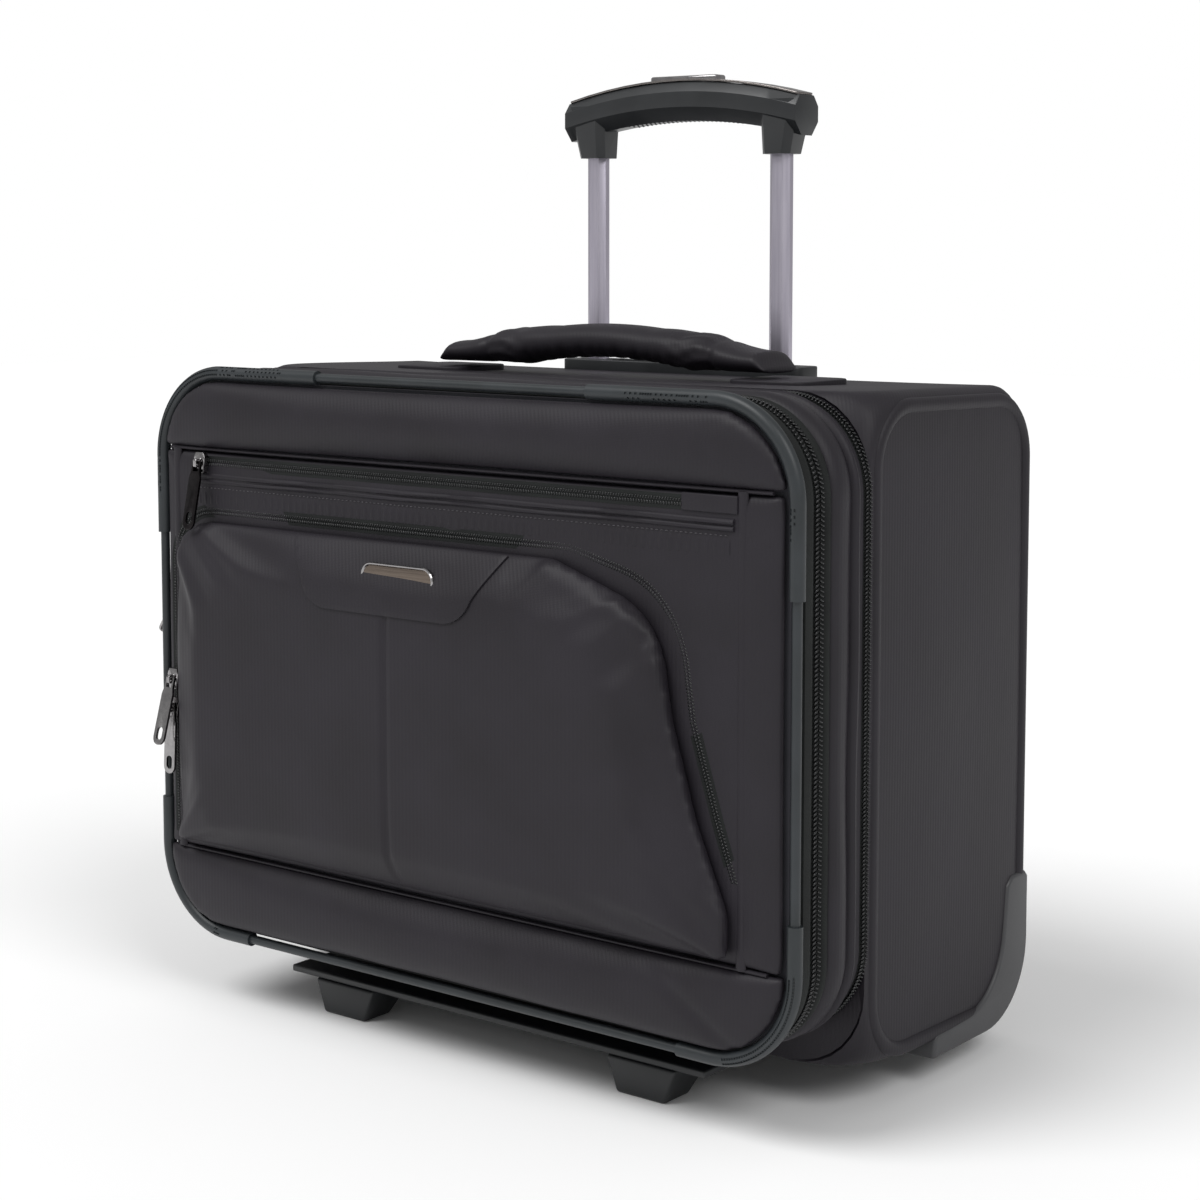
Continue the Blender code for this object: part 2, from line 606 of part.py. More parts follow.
def telescopic_handle():
    fixed = []
    pivot("middle_stage", (0, TUBE_Y, MIDDLE_TUBE_BOTTOM), "case")
    pivot("top_stage", (0, TUBE_Y, TOP_TUBE_BOTTOM), "middle_stage")
    for name, side in (("left", -1), ("right", 1)):
        fixed.append(tube(f"outer_tube_{name}", "mill aluminium", OUTER_TUBE, side,
                          OUTER_TUBE_BOTTOM, OUTER_TUBE_TOP))
        carry("middle_stage", tube(f"middle_tube_{name}", "anodised aluminium", MIDDLE_TUBE, side,
                                   MIDDLE_TUBE_BOTTOM, MIDDLE_TUBE_TOP))
        carry("top_stage", tube(f"top_tube_{name}", "anodised aluminium", TOP_TUBE, side,
                                TOP_TUBE_BOTTOM, TOP_TUBE_TOP))
    bracket = block("tube_bracket", "moulded plastic",
                    (-TUBE_X - OUTER_TUBE[0] / 2 - 0.006, TUBE_Y - 0.0125, REAR_BOTTOM + SHELL_WALL + 0.012),
                    (TUBE_X + OUTER_TUBE[0] / 2 + 0.006, TUBE_Y + 0.0125, OUTER_TUBE_BOTTOM - GAP), 0.001)
    rim = [(x, TUBE_Y + y) for x, y in rounded(TRAY_HALF_LENGTH, -TRAY_DEPTH / 2, TRAY_DEPTH / 2, 0.007, 4)]
    tray = plate("handle_tray", "moulded plastic", [rim], "top", TRAY_TOP - TRAY_THICKNESS, TRAY_TOP)
    for side in (-1, 1):
        outline = [(side * TUBE_X + x, y) for x, y in tube_hole()]
        hole = plate_mesh([outline], "top", TRAY_TOP - TRAY_THICKNESS - 0.005, TRAY_TOP + 0.005)
        boolean(tray, new_object(f"cut_tube_hole_{side}", hole, None))
    half = TUBE_X - MIDDLE_TUBE[0] / 2 - 0.004
    hollow = block("cut_tray_hollow", None, (-half, TUBE_Y - TRAY_DEPTH / 2 + 0.003, TRAY_TOP - 0.006),
                   (half, TUBE_Y + TRAY_DEPTH / 2 - 0.003, TRAY_TOP + 0.01))
    boolean(tray, hollow)
    return fixed + [bracket, tray]


def tube_hole():
    """The hole for a middle tube, centred on X = 0."""
    grown = tuple(side + 2 * RUNNING_GAP for side in MIDDLE_TUBE)
    return [(x - TUBE_X, y) for x, y in tube_section(grown, 1)]


def grip_top(x, offset=0.0):
    """Height of the grip's arched top."""
    return GRIP_TOP - GRIP_SHOULDER_DROP * (x / GRIP_SHOULDER_X) ** 2 + offset


def grip():
    """The arched grip with a socket for each tube, the metal cover on its top and the release button."""
    steps = 12
    shoulder = GRIP_SHOULDER_X
    outer = TUBE_X + SOCKET_WIDTH / 2
    inner = TUBE_X - SOCKET_WIDTH / 2
    xs = [shoulder * (1 - 2 * i / steps) for i in range(steps + 1)]
    top = [(x, grip_top(x)) for x in xs]
    bar_low = GRIP_TOP - GRIP_BAR
    right = [(outer, SOCKET_BOTTOM), (shoulder + 0.0040, grip_top(shoulder) - 0.012)]
    right_inner = [(inner, SOCKET_BOTTOM), (inner - 0.0015, bar_low - 0.006),
                   (inner - 0.0085, bar_low - 0.0008)]
    underside = [(x, bar_low - 0.0008 + 0.0008 * (1 - (x / 0.05) ** 2)) for x in (0.03, 0.0, -0.03)]
    outline = right + top + mirrored_x(right)
    outline += [(-x, z) for x, z in right_inner] + list(reversed(underside)) + list(reversed(right_inner))
    body = plate("grip", "moulded plastic", [outline], "front",
                 TUBE_Y - GRIP_DEPTH / 2, TUBE_Y + GRIP_DEPTH / 2, bevel=0.0020)
    for side in (-1, 1):
        grown = tuple(length + 2 * GAP for length in TOP_TUBE)
        socket = plate_mesh([tube_section(grown, side)], "top", SOCKET_BOTTOM - 0.01, TOP_TUBE_TOP + GAP)
        boolean(body, new_object(f"cut_socket_{side}", socket, None))
    low = grip_top(0) - BUTTON_BODY - BUTTON_TRAVEL - 0.0015
    recess = (BUTTON_LENGTH / 2 + RUNNING_GAP, BUTTON_WIDTH / 2 + RUNNING_GAP)
    boolean(body, block("cut_button_grip", None, (-recess[0], TUBE_Y - recess[1], low),
                        (recess[0], TUBE_Y + recess[1], GRIP_TOP + 0.01)))

    strip = [(x, grip_top(x, GAP)) for x in xs]
    over = [(x, grip_top(x, GAP + COVER_THICKNESS)) for x in reversed(xs)]
    cover = plate("grip_cover", "nickel", [strip + over], "front",
                  TUBE_Y - COVER_DEPTH / 2, TUBE_Y + COVER_DEPTH / 2)
    boolean(cover, block("cut_button_cover", None, (-recess[0], TUBE_Y - recess[1], low),
                         (recess[0], TUBE_Y + recess[1], GRIP_TOP + 0.01)))
    button_top = GRIP_TOP + GAP + COVER_THICKNESS + BUTTON_RISE
    button = block("release_button", "nickel",
                   (-BUTTON_LENGTH / 2, TUBE_Y - BUTTON_WIDTH / 2, grip_top(0) - BUTTON_BODY),
                   (BUTTON_LENGTH / 2, TUBE_Y + BUTTON_WIDTH / 2, button_top), 0.0012)
    pivot("button", (0, TUBE_Y, button_top), "top_stage")
    rods = []
    for name, side in (("left", -1), ("right", 1)):
        mesh = rod_mesh((side * TUBE_X, TUBE_Y, TOP_TUBE_BOTTOM + 0.008),
                        (side * TUBE_X, TUBE_Y, TOP_TUBE_TOP - 0.004), ROD_RADIUS, 8)
        rods.append(new_object(f"release_rod_{name}", mesh, "steel"))
    carry("top_stage", body, cover)
    carry("button", button, *rods)


# ---------------------------------------------------------------- carry handle
def carry_handle():
    half_thickness = HANDLE_THICKNESS / 2
    patch_low = REAR_TOP + GAP
    patch_top = patch_low + PATCH_THICKNESS
    base_z = patch_top + HANDLE_LIFT + half_thickness
    points = 14
    path = []
    for i in range(points + 1):
        x = HANDLE_HALF_SPAN * (2 * i / points - 1)
        path.append((x, HANDLE_Y, base_z + HANDLE_ARCH * (1 - (x / HANDLE_HALF_SPAN) ** 2)))
    mesh = tube_mesh(path, half_thickness, squash=(HANDLE_WIDTH / HANDLE_THICKNESS, HANDLE_Y), sides=12)
    handle = new_object("carry_handle", mesh, "case fabric")
    pivot("carry_handle", (0, HANDLE_Y, patch_top), "case")
    carry("carry_handle", handle)


# ---------------------------------------------------------------- organiser section
def organiser_section():
    pivot("organiser", MAIN_HINGE, "case")
    half = HALF_WIDTH - BAND_INSET
    low, high = FRONT_BOTTOM + BAND_INSET, CASE_TOP - BAND_INSET
    radius = FRONT_CORNER - BAND_INSET
    tray = plate("organiser_tray", "case fabric", [rounded(half, low, high, radius)], "front",
                 GUSSET_FRONT, GUSSET_BACK)
    inner = plate_mesh([rounded(half - BAND_WALL, low + BAND_WALL, high - BAND_WALL, radius - BAND_WALL)],
                       "front", GUSSET_FRONT - 0.01, GUSSET_BACK - GUSSET_BACK_WALL)
    boolean(tray, new_object("cut_tray_inside", inner, None))
    zip_front = plate("main_zip_front_half", "zip tape", band_loops(0.0), "front", ZIP2_FRONT, ZIP2_MIDDLE)
    zip_rear = plate("front_zip_rear_half", "zip tape", band_loops(0.0), "front",
                     MAIN_ZIP_FRONT, MAIN_ZIP_BACK)
    sleeve_back = GUSSET_BACK - GUSSET_BACK_WALL - GAP
    sleeve = plate("laptop_sleeve", "lining",
                   [rounded(half - 0.030, low + BAND_WALL + 0.004, TOP_SEAM - 0.040, 0.016, 4)],
                   "front", sleeve_back - SLEEVE_THICKNESS, sleeve_back)
    carry("organiser", tray, zip_front, zip_rear, sleeve)


# ---------------------------------------------------------------- front flap
def slant(from_binding, share):
    """A place on the lower pocket's slanting side: its distance to the binding and its share of the height."""
    return RIGHT_BINDING_X - from_binding, LOWER_SEAM + share * (POCKET_TOP - LOWER_SEAM)


def pocket_outline():
    """The lower pocket seen from the front: upright on the left and slanting on the right."""
    low = LOWER_SEAM + 0.004
    right = SIDE_BINDING / 2 + 0.001
    corner = (POCKET_LEFT + POCKET_CORNER, POCKET_TOP - POCKET_CORNER)
    outline = [(POCKET_LEFT, low), (slant(right, 0)[0], low), slant(right, 0.1425)]
    outline += [slant(0.023, 0.3664), slant(0.038, 0.6209)]
    outline += arc((RIGHT_BINDING_X - 0.087, POCKET_TOP - 0.058), 0.046, 12, 78, 5)
    outline += [slant(0.115, 1.0)]
    outline += arc(corner, POCKET_CORNER, 90, 180, 6)
    return outline


def pocket_zip_path():
    """The zip round the pocket, in the gap between the pocket and the pads."""
    side = POCKET_LEFT - ZIP_WIDTH / 2 - POCKET_ZIP_GAP
    top = POCKET_TOP + ZIP_WIDTH / 2 + 0.001
    bend = POCKET_CORNER + ZIP_WIDTH / 2
    path = [(side, LOWER_SEAM + 0.008)]
    path += reversed(arc((side + bend, top - bend), bend, 90, 180, 6))
    path += [(RIGHT_BINDING_X - 0.107, top)]
    path += reversed(arc((RIGHT_BINDING_X - 0.0855, POCKET_TOP - 0.056), 0.0535, 10, 76, 6))
    path += [slant(0.0285, 0.6107), slant(0.0135, 0.3664), slant(0.0035, 0.2239)]
    return path


def ribbon_loop(path, width):
    """The outline of a strip of constant width along a path."""
    left, right = [], []
    for i, point in enumerate(path):
        before, after = Vector(path[max(i - 1, 0)]), Vector(path[min(i + 1, len(path) - 1)])
        along = (after - before).normalized()
        across = Vector((-along.y, along.x)) * width / 2
        left.append(tuple(Vector(point) + across))
        right.append(tuple(Vector(point) - across))
    return left + right[::-1]


def front_flap():
    pivot("front_flap", FLAP_HINGE, "organiser")
    half = HALF_WIDTH - INSIDE_PIPING
    low, high = FRONT_BOTTOM + INSIDE_PIPING, CASE_TOP - INSIDE_PIPING
    radius = FRONT_CORNER - INSIDE_PIPING
    board = plate("flap_board", "case fabric", [rounded(half, low, high, radius)], "front",
                  BOARD_FRONT, BOARD_BACK)
    zip_half = plate("front_zip_front_half", "zip tape", band_loops(0.0), "front",
                     FLAP_ZIP_FRONT, FLAP_ZIP_BACK)

    outline = rounded(half, low, high, radius)
    top_band = plate("top_band", "case fabric", [between(outline, TOP_SEAM + GAP, high)], "front",
                     PAD_FRONT, PAD_BACK, bevel=0.0015)
    bottom_band = plate("bottom_band", "case fabric", [between(outline, low, LOWER_SEAM - GAP)], "front",
                        PAD_FRONT, PAD_BACK, bevel=0.0015)
    upper_pocket = plate("upper_pocket_panel", "case fabric",
                         [between(outline, LOWER_SEAM + GAP, TOP_SEAM - GAP)], "front",
                         PAD_FRONT + PANEL_STEP, PAD_BACK)

    face = PAD_FRONT + PANEL_STEP - GAP
    pocket = plate("lower_pocket_panel", "case fabric", [pocket_outline()], "front", face - POCKET_RISE, face,
                   bevel=0.0040)
    upper_zip = block("upper_pocket_zip", "zip tape",
                      (UPPER_ZIP_ENDS[0], face - ZIP_THICKNESS, UPPER_ZIP_Z - ZIP_WIDTH / 2),
                      (UPPER_ZIP_ENDS[1], face, UPPER_ZIP_Z + ZIP_WIDTH / 2))
    lower_zip = plate("lower_pocket_zip", "zip tape", [ribbon_loop(pocket_zip_path(), ZIP_WIDTH)], "front",
                      face - ZIP_THICKNESS, face)
    pocket_face = face - POCKET_RISE - GAP
    pill = rounded(BADGE_LENGTH / 2, BADGE_Z - BADGE_HEIGHT / 2, BADGE_Z + BADGE_HEIGHT / 2,
                   BADGE_HEIGHT / 2 - 0.0001, 6, BADGE_X)
    badge_back = pocket_face - TAB_THICKNESS - GAP
    badge = plate("badge", "bronze", [pill], "front", badge_back - BADGE_THICKNESS, badge_back, bevel=0.0006)

    carry("front_flap", board, zip_half, top_band, bottom_band, upper_pocket, pocket, upper_zip, lower_zip,
          badge, edge_piping(), *corner_guards())
    return face


def edge_piping():
    radius = FRONT_CORNER - PIPING_RADIUS
    outline = rounded(PIPING_X, PIPING_LOW, PIPING_HIGH, radius, 8)
    mesh = tube_mesh([(x, 0, z) for x, z in outline], PIPING_RADIUS, cyclic=True)
    return new_object("edge_piping", mesh, "rubber")


def corner_guards():
    """A hollow rubber guard over the piping at each corner, straight for a while either side of the bend."""
    made = []
    bend = FRONT_CORNER - PIPING_RADIUS
    for high, vertical in (("top", 1), ("bottom", -1)):
        for name, side in (("left", -1), ("right", 1)):
            level = PIPING_HIGH if vertical > 0 else PIPING_LOW
            straight_across, straight_down = (0.078, 0.046) if vertical > 0 else (0.020, 0.026)
            centre = (PIPING_X - bend, level - vertical * bend)
            path = [(centre[0] - straight_across, level)]
            path += [(x, centre[1] + vertical * (z - centre[1]))
                     for x, z in reversed(arc(centre, bend, 0, 90, 8))]
            path += [(PIPING_X, centre[1] - vertical * straight_down)]
            mesh = tube_mesh([(side * x, 0, z) for x, z in path], GUARD_RADIUS)
            guard = new_object(f"corner_guard_{high}_{name}", mesh, "rubber")
            extended = [(path[0][0] - 0.004, level)] + path + [(PIPING_X, path[-1][1] - vertical * 0.004)]
            bore = tube_mesh([(side * x, 0, z) for x, z in extended], PIPING_RADIUS + GAP)
            boolean(guard, new_object(f"bore_{high}_{name}", bore, None))
            made.append(guard)
    return made


# ---------------------------------------------------------------- sliders and pullers
CROSSBAR = PULLER_THICKNESS
BRIDGE_HOLE = math.hypot(PULLER_THICKNESS, CROSSBAR) + 2 * PULLER_PLAY
BRIDGE_HALF = BRIDGE_HOLE / 2 + BRIDGE_WALL


def slider_mesh():
    """A zip slider: its body, and a bridge for the puller. The zip runs along Z and the puller is at -Y."""
    half = SLIDER_LENGTH / 2
    nose, tail = SLIDER_WIDTH / 2, SLIDER_WIDTH / 3
    outline = [(-nose, half - 0.003), (-tail, -half), (tail, -half), (nose, half - 0.003), (tail, half),
               (-tail, half)]
    body = new_object("slider_body", plate_mesh([outline], "front", -SLIDER_THICKNESS, 0.0), None)
    top = -SLIDER_THICKNESS - BRIDGE_HOLE - BRIDGE_WALL
    side = [(-SLIDER_THICKNESS + 0.0008, -BRIDGE_HALF), (-SLIDER_THICKNESS + 0.0008, BRIDGE_HALF),
            (top + 0.0008, BRIDGE_HALF), (top, BRIDGE_HALF - 0.0008), (top, -BRIDGE_HALF + 0.0008),
            (top + 0.0008, -BRIDGE_HALF)]
    near, far, high = -SLIDER_THICKNESS, -SLIDER_THICKNESS - BRIDGE_HOLE, BRIDGE_HOLE / 2
    hole = [(near, -high), (near, high), (far, high), (far, -high)]
    bridge = new_object("slider_bridge",
                        plate_mesh([side, hole], "side", -BRIDGE_WIDTH / 2, BRIDGE_WIDTH / 2), None)
    boolean(body, bridge, "UNION")
    mesh = realised(body)
    bpy.data.objects.remove(bridge, do_unlink=True)
    return mesh


def puller_mesh():
    """A puller about its crossbar's axis, hanging along -Z: an eye round the bridge, then a long plate."""
    eye = BRIDGE_WIDTH / 2 + 0.0009
    reach = CROSSBAR / 2 + math.hypot(BRIDGE_HALF, BRIDGE_HOLE / 2 + BRIDGE_WALL) + 0.0006
    half = PULLER_WIDTH / 2
    head = eye + 0.0013
    outline = [(-head, CROSSBAR / 2), (-head, -reach), (-half, -reach - 0.004)]
    outline += arc((0, -PULLER_LENGTH + half), half, 180, 360, 8)
    outline += [(half, -reach - 0.004), (head, -reach), (head, CROSSBAR / 2)]
    opening = [(-eye, -CROSSBAR / 2), (eye, -CROSSBAR / 2), (eye, -reach), (-eye, -reach)]
    slot = rounded(half - 0.0022, -PULLER_LENGTH + 0.0030, -PULLER_LENGTH + 0.0105, 0.0020, 3)
    return plate_mesh([outline, opening, slot], "front", -PULLER_THICKNESS / 2, PULLER_THICKNESS / 2)


SLIDERS = (  # name, parent, outward side, X, Y, Z, puller's lean from the zip in degrees
    ("upper_pocket", "front_flap", "front", UPPER_ZIP_ENDS[0] + 0.008, None, UPPER_ZIP_Z, 12),
    ("lower_pocket_a", "front_flap", "front", None, None, LOWER_SEAM + 0.1000, 16),
    ("lower_pocket_b", "front_flap", "front", None, None, LOWER_SEAM + 0.1000 - SLIDER_LENGTH - 0.0050, 3),
    ("front_zip_a", "organiser", "left", None, (FLAP_ZIP_BACK + MAIN_ZIP_FRONT) / 2, CASE_TOP - 0.1305, 34),
    ("front_zip_b", "organiser", "left", None, (FLAP_ZIP_BACK + MAIN_ZIP_FRONT) / 2, CASE_TOP - 0.1870, 27),
    ("main_zip_a", "organiser", "left", None, ZIP2_MIDDLE, CASE_TOP - 0.1420, 8),
    ("main_zip_b", "organiser", "left", None, ZIP2_MIDDLE, CASE_TOP - 0.1970, 8),
)


def sliders(front_face):
    slider, puller = slider_mesh(), puller_mesh()
    for name, parent, outward, x, y, z, lean in SLIDERS:
        if outward == "front":
            turn = Matrix.Identity(4)
            zip_x = x if x is not None else POCKET_LEFT - ZIP_WIDTH / 2 - POCKET_ZIP_GAP
            seat = Vector((zip_x, front_face - ZIP_THICKNESS - GAP, z))
        else:
            turn = Matrix.Rotation(-math.pi / 2, 4, "Z")
            seat = Vector((-HALF_WIDTH + BAND_INSET - GAP, y, z))
        crossbar = seat + turn @ Vector((0, -SLIDER_THICKNESS - BRIDGE_HOLE / 2, 0))
        pivot(f"slider_{name}", seat, parent)
        pivot(f"puller_{name}", crossbar, f"slider_{name}")
        body = slider.copy()
        body.transform(Matrix.Translation(seat) @ turn)
        plate_piece = puller.copy()
        tilt = Matrix.Rotation(math.radians(-lean), 4, "X")
        plate_piece.transform(Matrix.Translation(crossbar) @ turn @ tilt)
        carry(f"slider_{name}", new_object(f"slider_{name}", body, "nickel"))
        carry(f"puller_{name}", new_object(f"puller_{name}", plate_piece, "nickel"))


# ---------------------------------------------------------------- assembly
def centre_on_floor():
    """Moves the case so that the origin is under the centre of the whole object, on the floor."""
    bpy.context.view_layer.update()
    graph = bpy.context.evaluated_depsgraph_get()
    low, high = Vector((9, 9, 9)), Vector((-9, -9, -9))
    for found in parts.objects:
        if found.type != "MESH":
            continue
        for corner in found.evaluated_get(graph).bound_box:
            place = found.matrix_world @ Vector(corner)
            low = Vector(map(min, low, place))
            high = Vector(map(max, high, place))
    middle = (low + high) / 2
    pivots["case"].location = (-middle.x, -middle.y, 0.0)


def main():
    clear_scene()
    pivot("case", (0, 0, 0))
    fixed = rear_case() + base() + telescopic_handle()
    for name, side in (("left", -1), ("right", 1)):
        fixed += wheel_guard(name, side)
        wheel(name, side)
    carry("case", *fixed)
    carry_handle()
    grip()
    organiser_section()
    sliders(front_flap())
    carry("case", *cutters.objects)
    centre_on_floor()


main()
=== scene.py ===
"""Looks of the pilot rolling flight case: its fabric, zips, rubber guards, handle tubes and fittings.

Pieces are modelled in the case's own frame (X = 0 the middle of the case, Y = 0 the front piping, Z = 0 the
floor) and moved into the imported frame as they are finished. Metres throughout.
"""

import json
import math

import bmesh
import bpy
from mathutils import Matrix, Vector, noise

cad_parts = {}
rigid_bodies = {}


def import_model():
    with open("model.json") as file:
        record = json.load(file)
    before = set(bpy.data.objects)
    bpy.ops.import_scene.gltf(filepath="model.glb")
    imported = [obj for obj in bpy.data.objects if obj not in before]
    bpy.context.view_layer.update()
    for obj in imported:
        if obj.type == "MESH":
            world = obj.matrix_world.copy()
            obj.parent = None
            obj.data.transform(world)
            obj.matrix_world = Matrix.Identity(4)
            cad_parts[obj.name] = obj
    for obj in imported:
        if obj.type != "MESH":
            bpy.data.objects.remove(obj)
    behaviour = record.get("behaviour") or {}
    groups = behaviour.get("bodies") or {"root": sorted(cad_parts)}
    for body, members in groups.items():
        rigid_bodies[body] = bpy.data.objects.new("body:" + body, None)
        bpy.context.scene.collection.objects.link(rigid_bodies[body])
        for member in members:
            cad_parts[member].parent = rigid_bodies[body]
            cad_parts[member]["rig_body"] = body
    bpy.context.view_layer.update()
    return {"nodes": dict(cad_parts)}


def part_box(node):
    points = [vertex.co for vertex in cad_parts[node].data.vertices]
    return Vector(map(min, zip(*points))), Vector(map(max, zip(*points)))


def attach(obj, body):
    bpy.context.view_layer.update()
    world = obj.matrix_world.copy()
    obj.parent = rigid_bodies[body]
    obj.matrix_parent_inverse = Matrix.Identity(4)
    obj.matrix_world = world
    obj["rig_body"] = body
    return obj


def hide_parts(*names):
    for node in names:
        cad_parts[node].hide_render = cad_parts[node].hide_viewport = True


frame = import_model()
MM = 0.001
WAVE_BANDS = 3.183  # bands that a wave texture at scale 1 draws in one metre, 20 / (2 pi)

# ---------------------------------------------------------------- the case's frame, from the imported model
OFFSET = Vector(((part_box("rear_shell")[0].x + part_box("rear_shell")[1].x) / 2,
                 (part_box("edge_piping")[0].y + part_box("edge_piping")[1].y) / 2, 0.0))


def place_of(node):
    """The lowest and highest corners of a node, in the case's frame."""
    low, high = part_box(node)
    return low - OFFSET, high - OFFSET


SHELL_LOW, SHELL_HIGH = place_of("rear_shell")
PIPING_LOW, PIPING_HIGH = place_of("edge_piping")
BAND_LOW, BAND_HIGH = place_of("front_zip_rear_half")
TRAY_LOW, TRAY_HIGH = place_of("organiser_tray")
BOARD_LOW, BOARD_HIGH = place_of("flap_board")
PANEL_LOW, PANEL_HIGH = place_of("upper_pocket_panel")
POCKET_LOW, POCKET_HIGH = place_of("lower_pocket_panel")
UPPER_ZIP_LOW, UPPER_ZIP_HIGH = place_of("upper_pocket_zip")

PIPING_RADIUS = (PIPING_HIGH.y - PIPING_LOW.y) / 2
CORNER = 0.052  # of the case's outline over the piping
BAND_CORNER = CORNER - (PIPING_HIGH.x - BAND_HIGH.x)
TOP_SEAM = place_of("top_band")[0].z
LOWER_SEAM = place_of("bottom_band")[1].z
PAD_FACE = place_of("top_band")[0].y


# ---------------------------------------------------------------- materials
def linear(code):
    """An sRGB hex colour as linear red, green, blue and alpha."""
    parts = [int(code[i:i + 2], 16) / 255 for i in (1, 3, 5)]
    return (*[p / 12.92 if p <= 0.04045 else ((p + 0.055) / 1.055) ** 2.4 for p in parts], 1.0)


def node(tree, kind, inputs=(), **settings):
    """Adds a node with its settings, and its inputs given as numbers, colours or another node's output."""
    made = tree.nodes.new(f"ShaderNode{kind}")
    for name, value in settings.items():
        setattr(made, name, value)
    for key, value in dict(inputs).items():
        if isinstance(value, bpy.types.NodeSocket):
            tree.links.new(value, made.inputs[key])
        else:
            made.inputs[key].default_value = value
    return made


def blank(name, colour, roughness, metallic=0.0, **others):
    """A new material with its constants on the shader's own sockets."""
    made = bpy.data.materials.new(name)
    made.use_nodes = True
    tree = made.node_tree
    shader = tree.nodes["Principled BSDF"]
    shader.inputs["Base Color"].default_value = linear(colour)
    shader.inputs["Roughness"].default_value = roughness
    shader.inputs["Metallic"].default_value = metallic
    for key, value in others.items():
        shader.inputs[key.replace("_", " ")].default_value = value
    return made, tree, shader


def object_place(tree, scale=(1, 1, 1), turn=(0, 0, 0)):
    here = node(tree, "TexCoord").outputs["Object"]
    return node(tree, "Mapping", {"Vector": here, "Scale": scale, "Rotation": turn}).outputs["Vector"]


def mottled(tree, place, size, low, high, detail=3.0):
    """A colour that drifts between two shades over patches of the given size."""
    cloud = node(tree, "TexNoise", {"Vector": place, "Scale": 1 / size, "Detail": detail, "Roughness": 0.55})
    ramp = node(tree, "ValToRGB", {"Fac": cloud.outputs["Fac"]})
    ramp.color_ramp.elements[0].position, ramp.color_ramp.elements[1].position = 0.32, 0.68
    ramp.color_ramp.elements[0].color, ramp.color_ramp.elements[1].color = linear(low), linear(high)
    return ramp.outputs["Color"], cloud.outputs["Fac"]


def bumped(tree, shader, heights):
    """Chains bumps of (height socket, distance in metres, strength) into the shader's normal."""
    normal = None
    for height, distance, strength in heights:
        inputs = {"Height": height, "Distance": distance, "Strength": strength}
        if normal:
            inputs["Normal"] = normal
        normal = node(tree, "Bump", inputs).outputs["Normal"]
    tree.links.new(normal, shader.inputs["Normal"])


def ranged(tree, value, low, high):
    return node(tree, "MapRange", {"Value": value, "To Min": low, "To Max": high}).outputs["Result"]


def woven(name, shades, roughness, thread, rib, sheen):
    """Woven cloth: fine upright ribs over crossing threads, which are drawn coarser than life, to show."""
    made, tree, shader = blank(name, shades[0], roughness, Sheen_Weight=sheen, Sheen_Roughness=0.45,
                               Specular_IOR_Level=0.30)
    shader.inputs["Sheen Tint"].default_value = linear("#8a8090")
    place = object_place(tree)
    colour, cloud = mottled(tree, place, 0.055, *shades)
    tree.links.new(colour, shader.inputs["Base Color"])
    slanted = object_place(tree, turn=(0, 0, math.radians(-45)))
    ribs = node(tree, "TexWave", {"Vector": slanted, "Scale": math.sqrt(0.5) / rib / WAVE_BANDS, "Distortion": 0.25,
                                  "Detail": 1.0, "Detail Scale": 2.0}, bands_direction="X")
    picks = node(tree, "TexWave", {"Vector": place, "Scale": 1 / thread / WAVE_BANDS, "Distortion": 0.4},
                 bands_direction="Z")
    crinkle = node(tree, "TexNoise", {"Vector": place, "Scale": 1 / 0.024, "Detail": 2.0})
    bumped(tree, shader, [(ribs.outputs["Fac"], 0.10 * MM, 0.35), (picks.outputs["Fac"], 0.06 * MM, 0.25),
                          (crinkle.outputs["Fac"], 0.9 * MM, 0.30)])
    tree.links.new(ranged(tree, cloud, roughness - 0.06, roughness + 0.06), shader.inputs["Roughness"])
    return made


def case_fabric():
    # nylon twill with a satin face: dark aubergine grey that catches a broad, soft light along its ribs
    return woven("nylon twill", ("#1d1a1f", "#232026"), 0.55, 0.8 * MM, 1.3 * MM, 0.02)


def lining():
    # polyester taffeta lining: a flat, dull grey with a plain weave
    return woven("polyester taffeta", ("#303035", "#38383d"), 0.80, 0.9 * MM, 0.9 * MM, 0.05)


def grained(name, shades, roughness, grain, depth, **others):
    """A moulded piece with the mould's fine spark-eroded grain."""
    made, tree, shader = blank(name, shades[0], roughness, **others)
    place = object_place(tree)
    colour, cloud = mottled(tree, place, 0.035, *shades)
    tree.links.new(colour, shader.inputs["Base Color"])
    pebbles = node(tree, "TexNoise", {"Vector": place, "Scale": 1 / grain, "Detail": 2.0, "Roughness": 0.6})
    tree.links.new(ranged(tree, cloud, roughness - 0.05, roughness + 0.08), shader.inputs["Roughness"])
    bumped(tree, shader, [(pebbles.outputs["Fac"], depth, 0.5)])
    return made


def guard_rubber():
    # soft PVC, extruded and hot-formed: satin slate grey with a faint matt bloom
    return grained("extruded PVC", ("#25292b", "#2e3235"), 0.42, 1.2 * MM, 0.05 * MM, Specular_IOR_Level=0.4)


def moulded_plastic():
    # injection moulded ABS with a fine grain: mid grey on the wheel guards
    return grained("grained ABS", ("#38383a", "#404042"), 0.46, 0.9 * MM, 0.07 * MM)


def dark_plastic():
    # injection moulded polypropylene: near black, a little waxy
    return grained("moulded polypropylene", ("#17191b", "#202224"), 0.42, 1.0 * MM, 0.05 * MM)


def grip_plastic():
    # soft-touch moulded nylon: charcoal with broad satin highlights on its facets
    return grained("soft-touch nylon", ("#1f2123", "#282a2c"), 0.36, 0.9 * MM, 0.03 * MM)


def tyre_rubber():
    # polyurethane tyre: charcoal, smooth from the mould and matt where it has rolled
    return grained("polyurethane", ("#1f2021", "#2b2c2d"), 0.62, 1.4 * MM, 0.08 * MM)


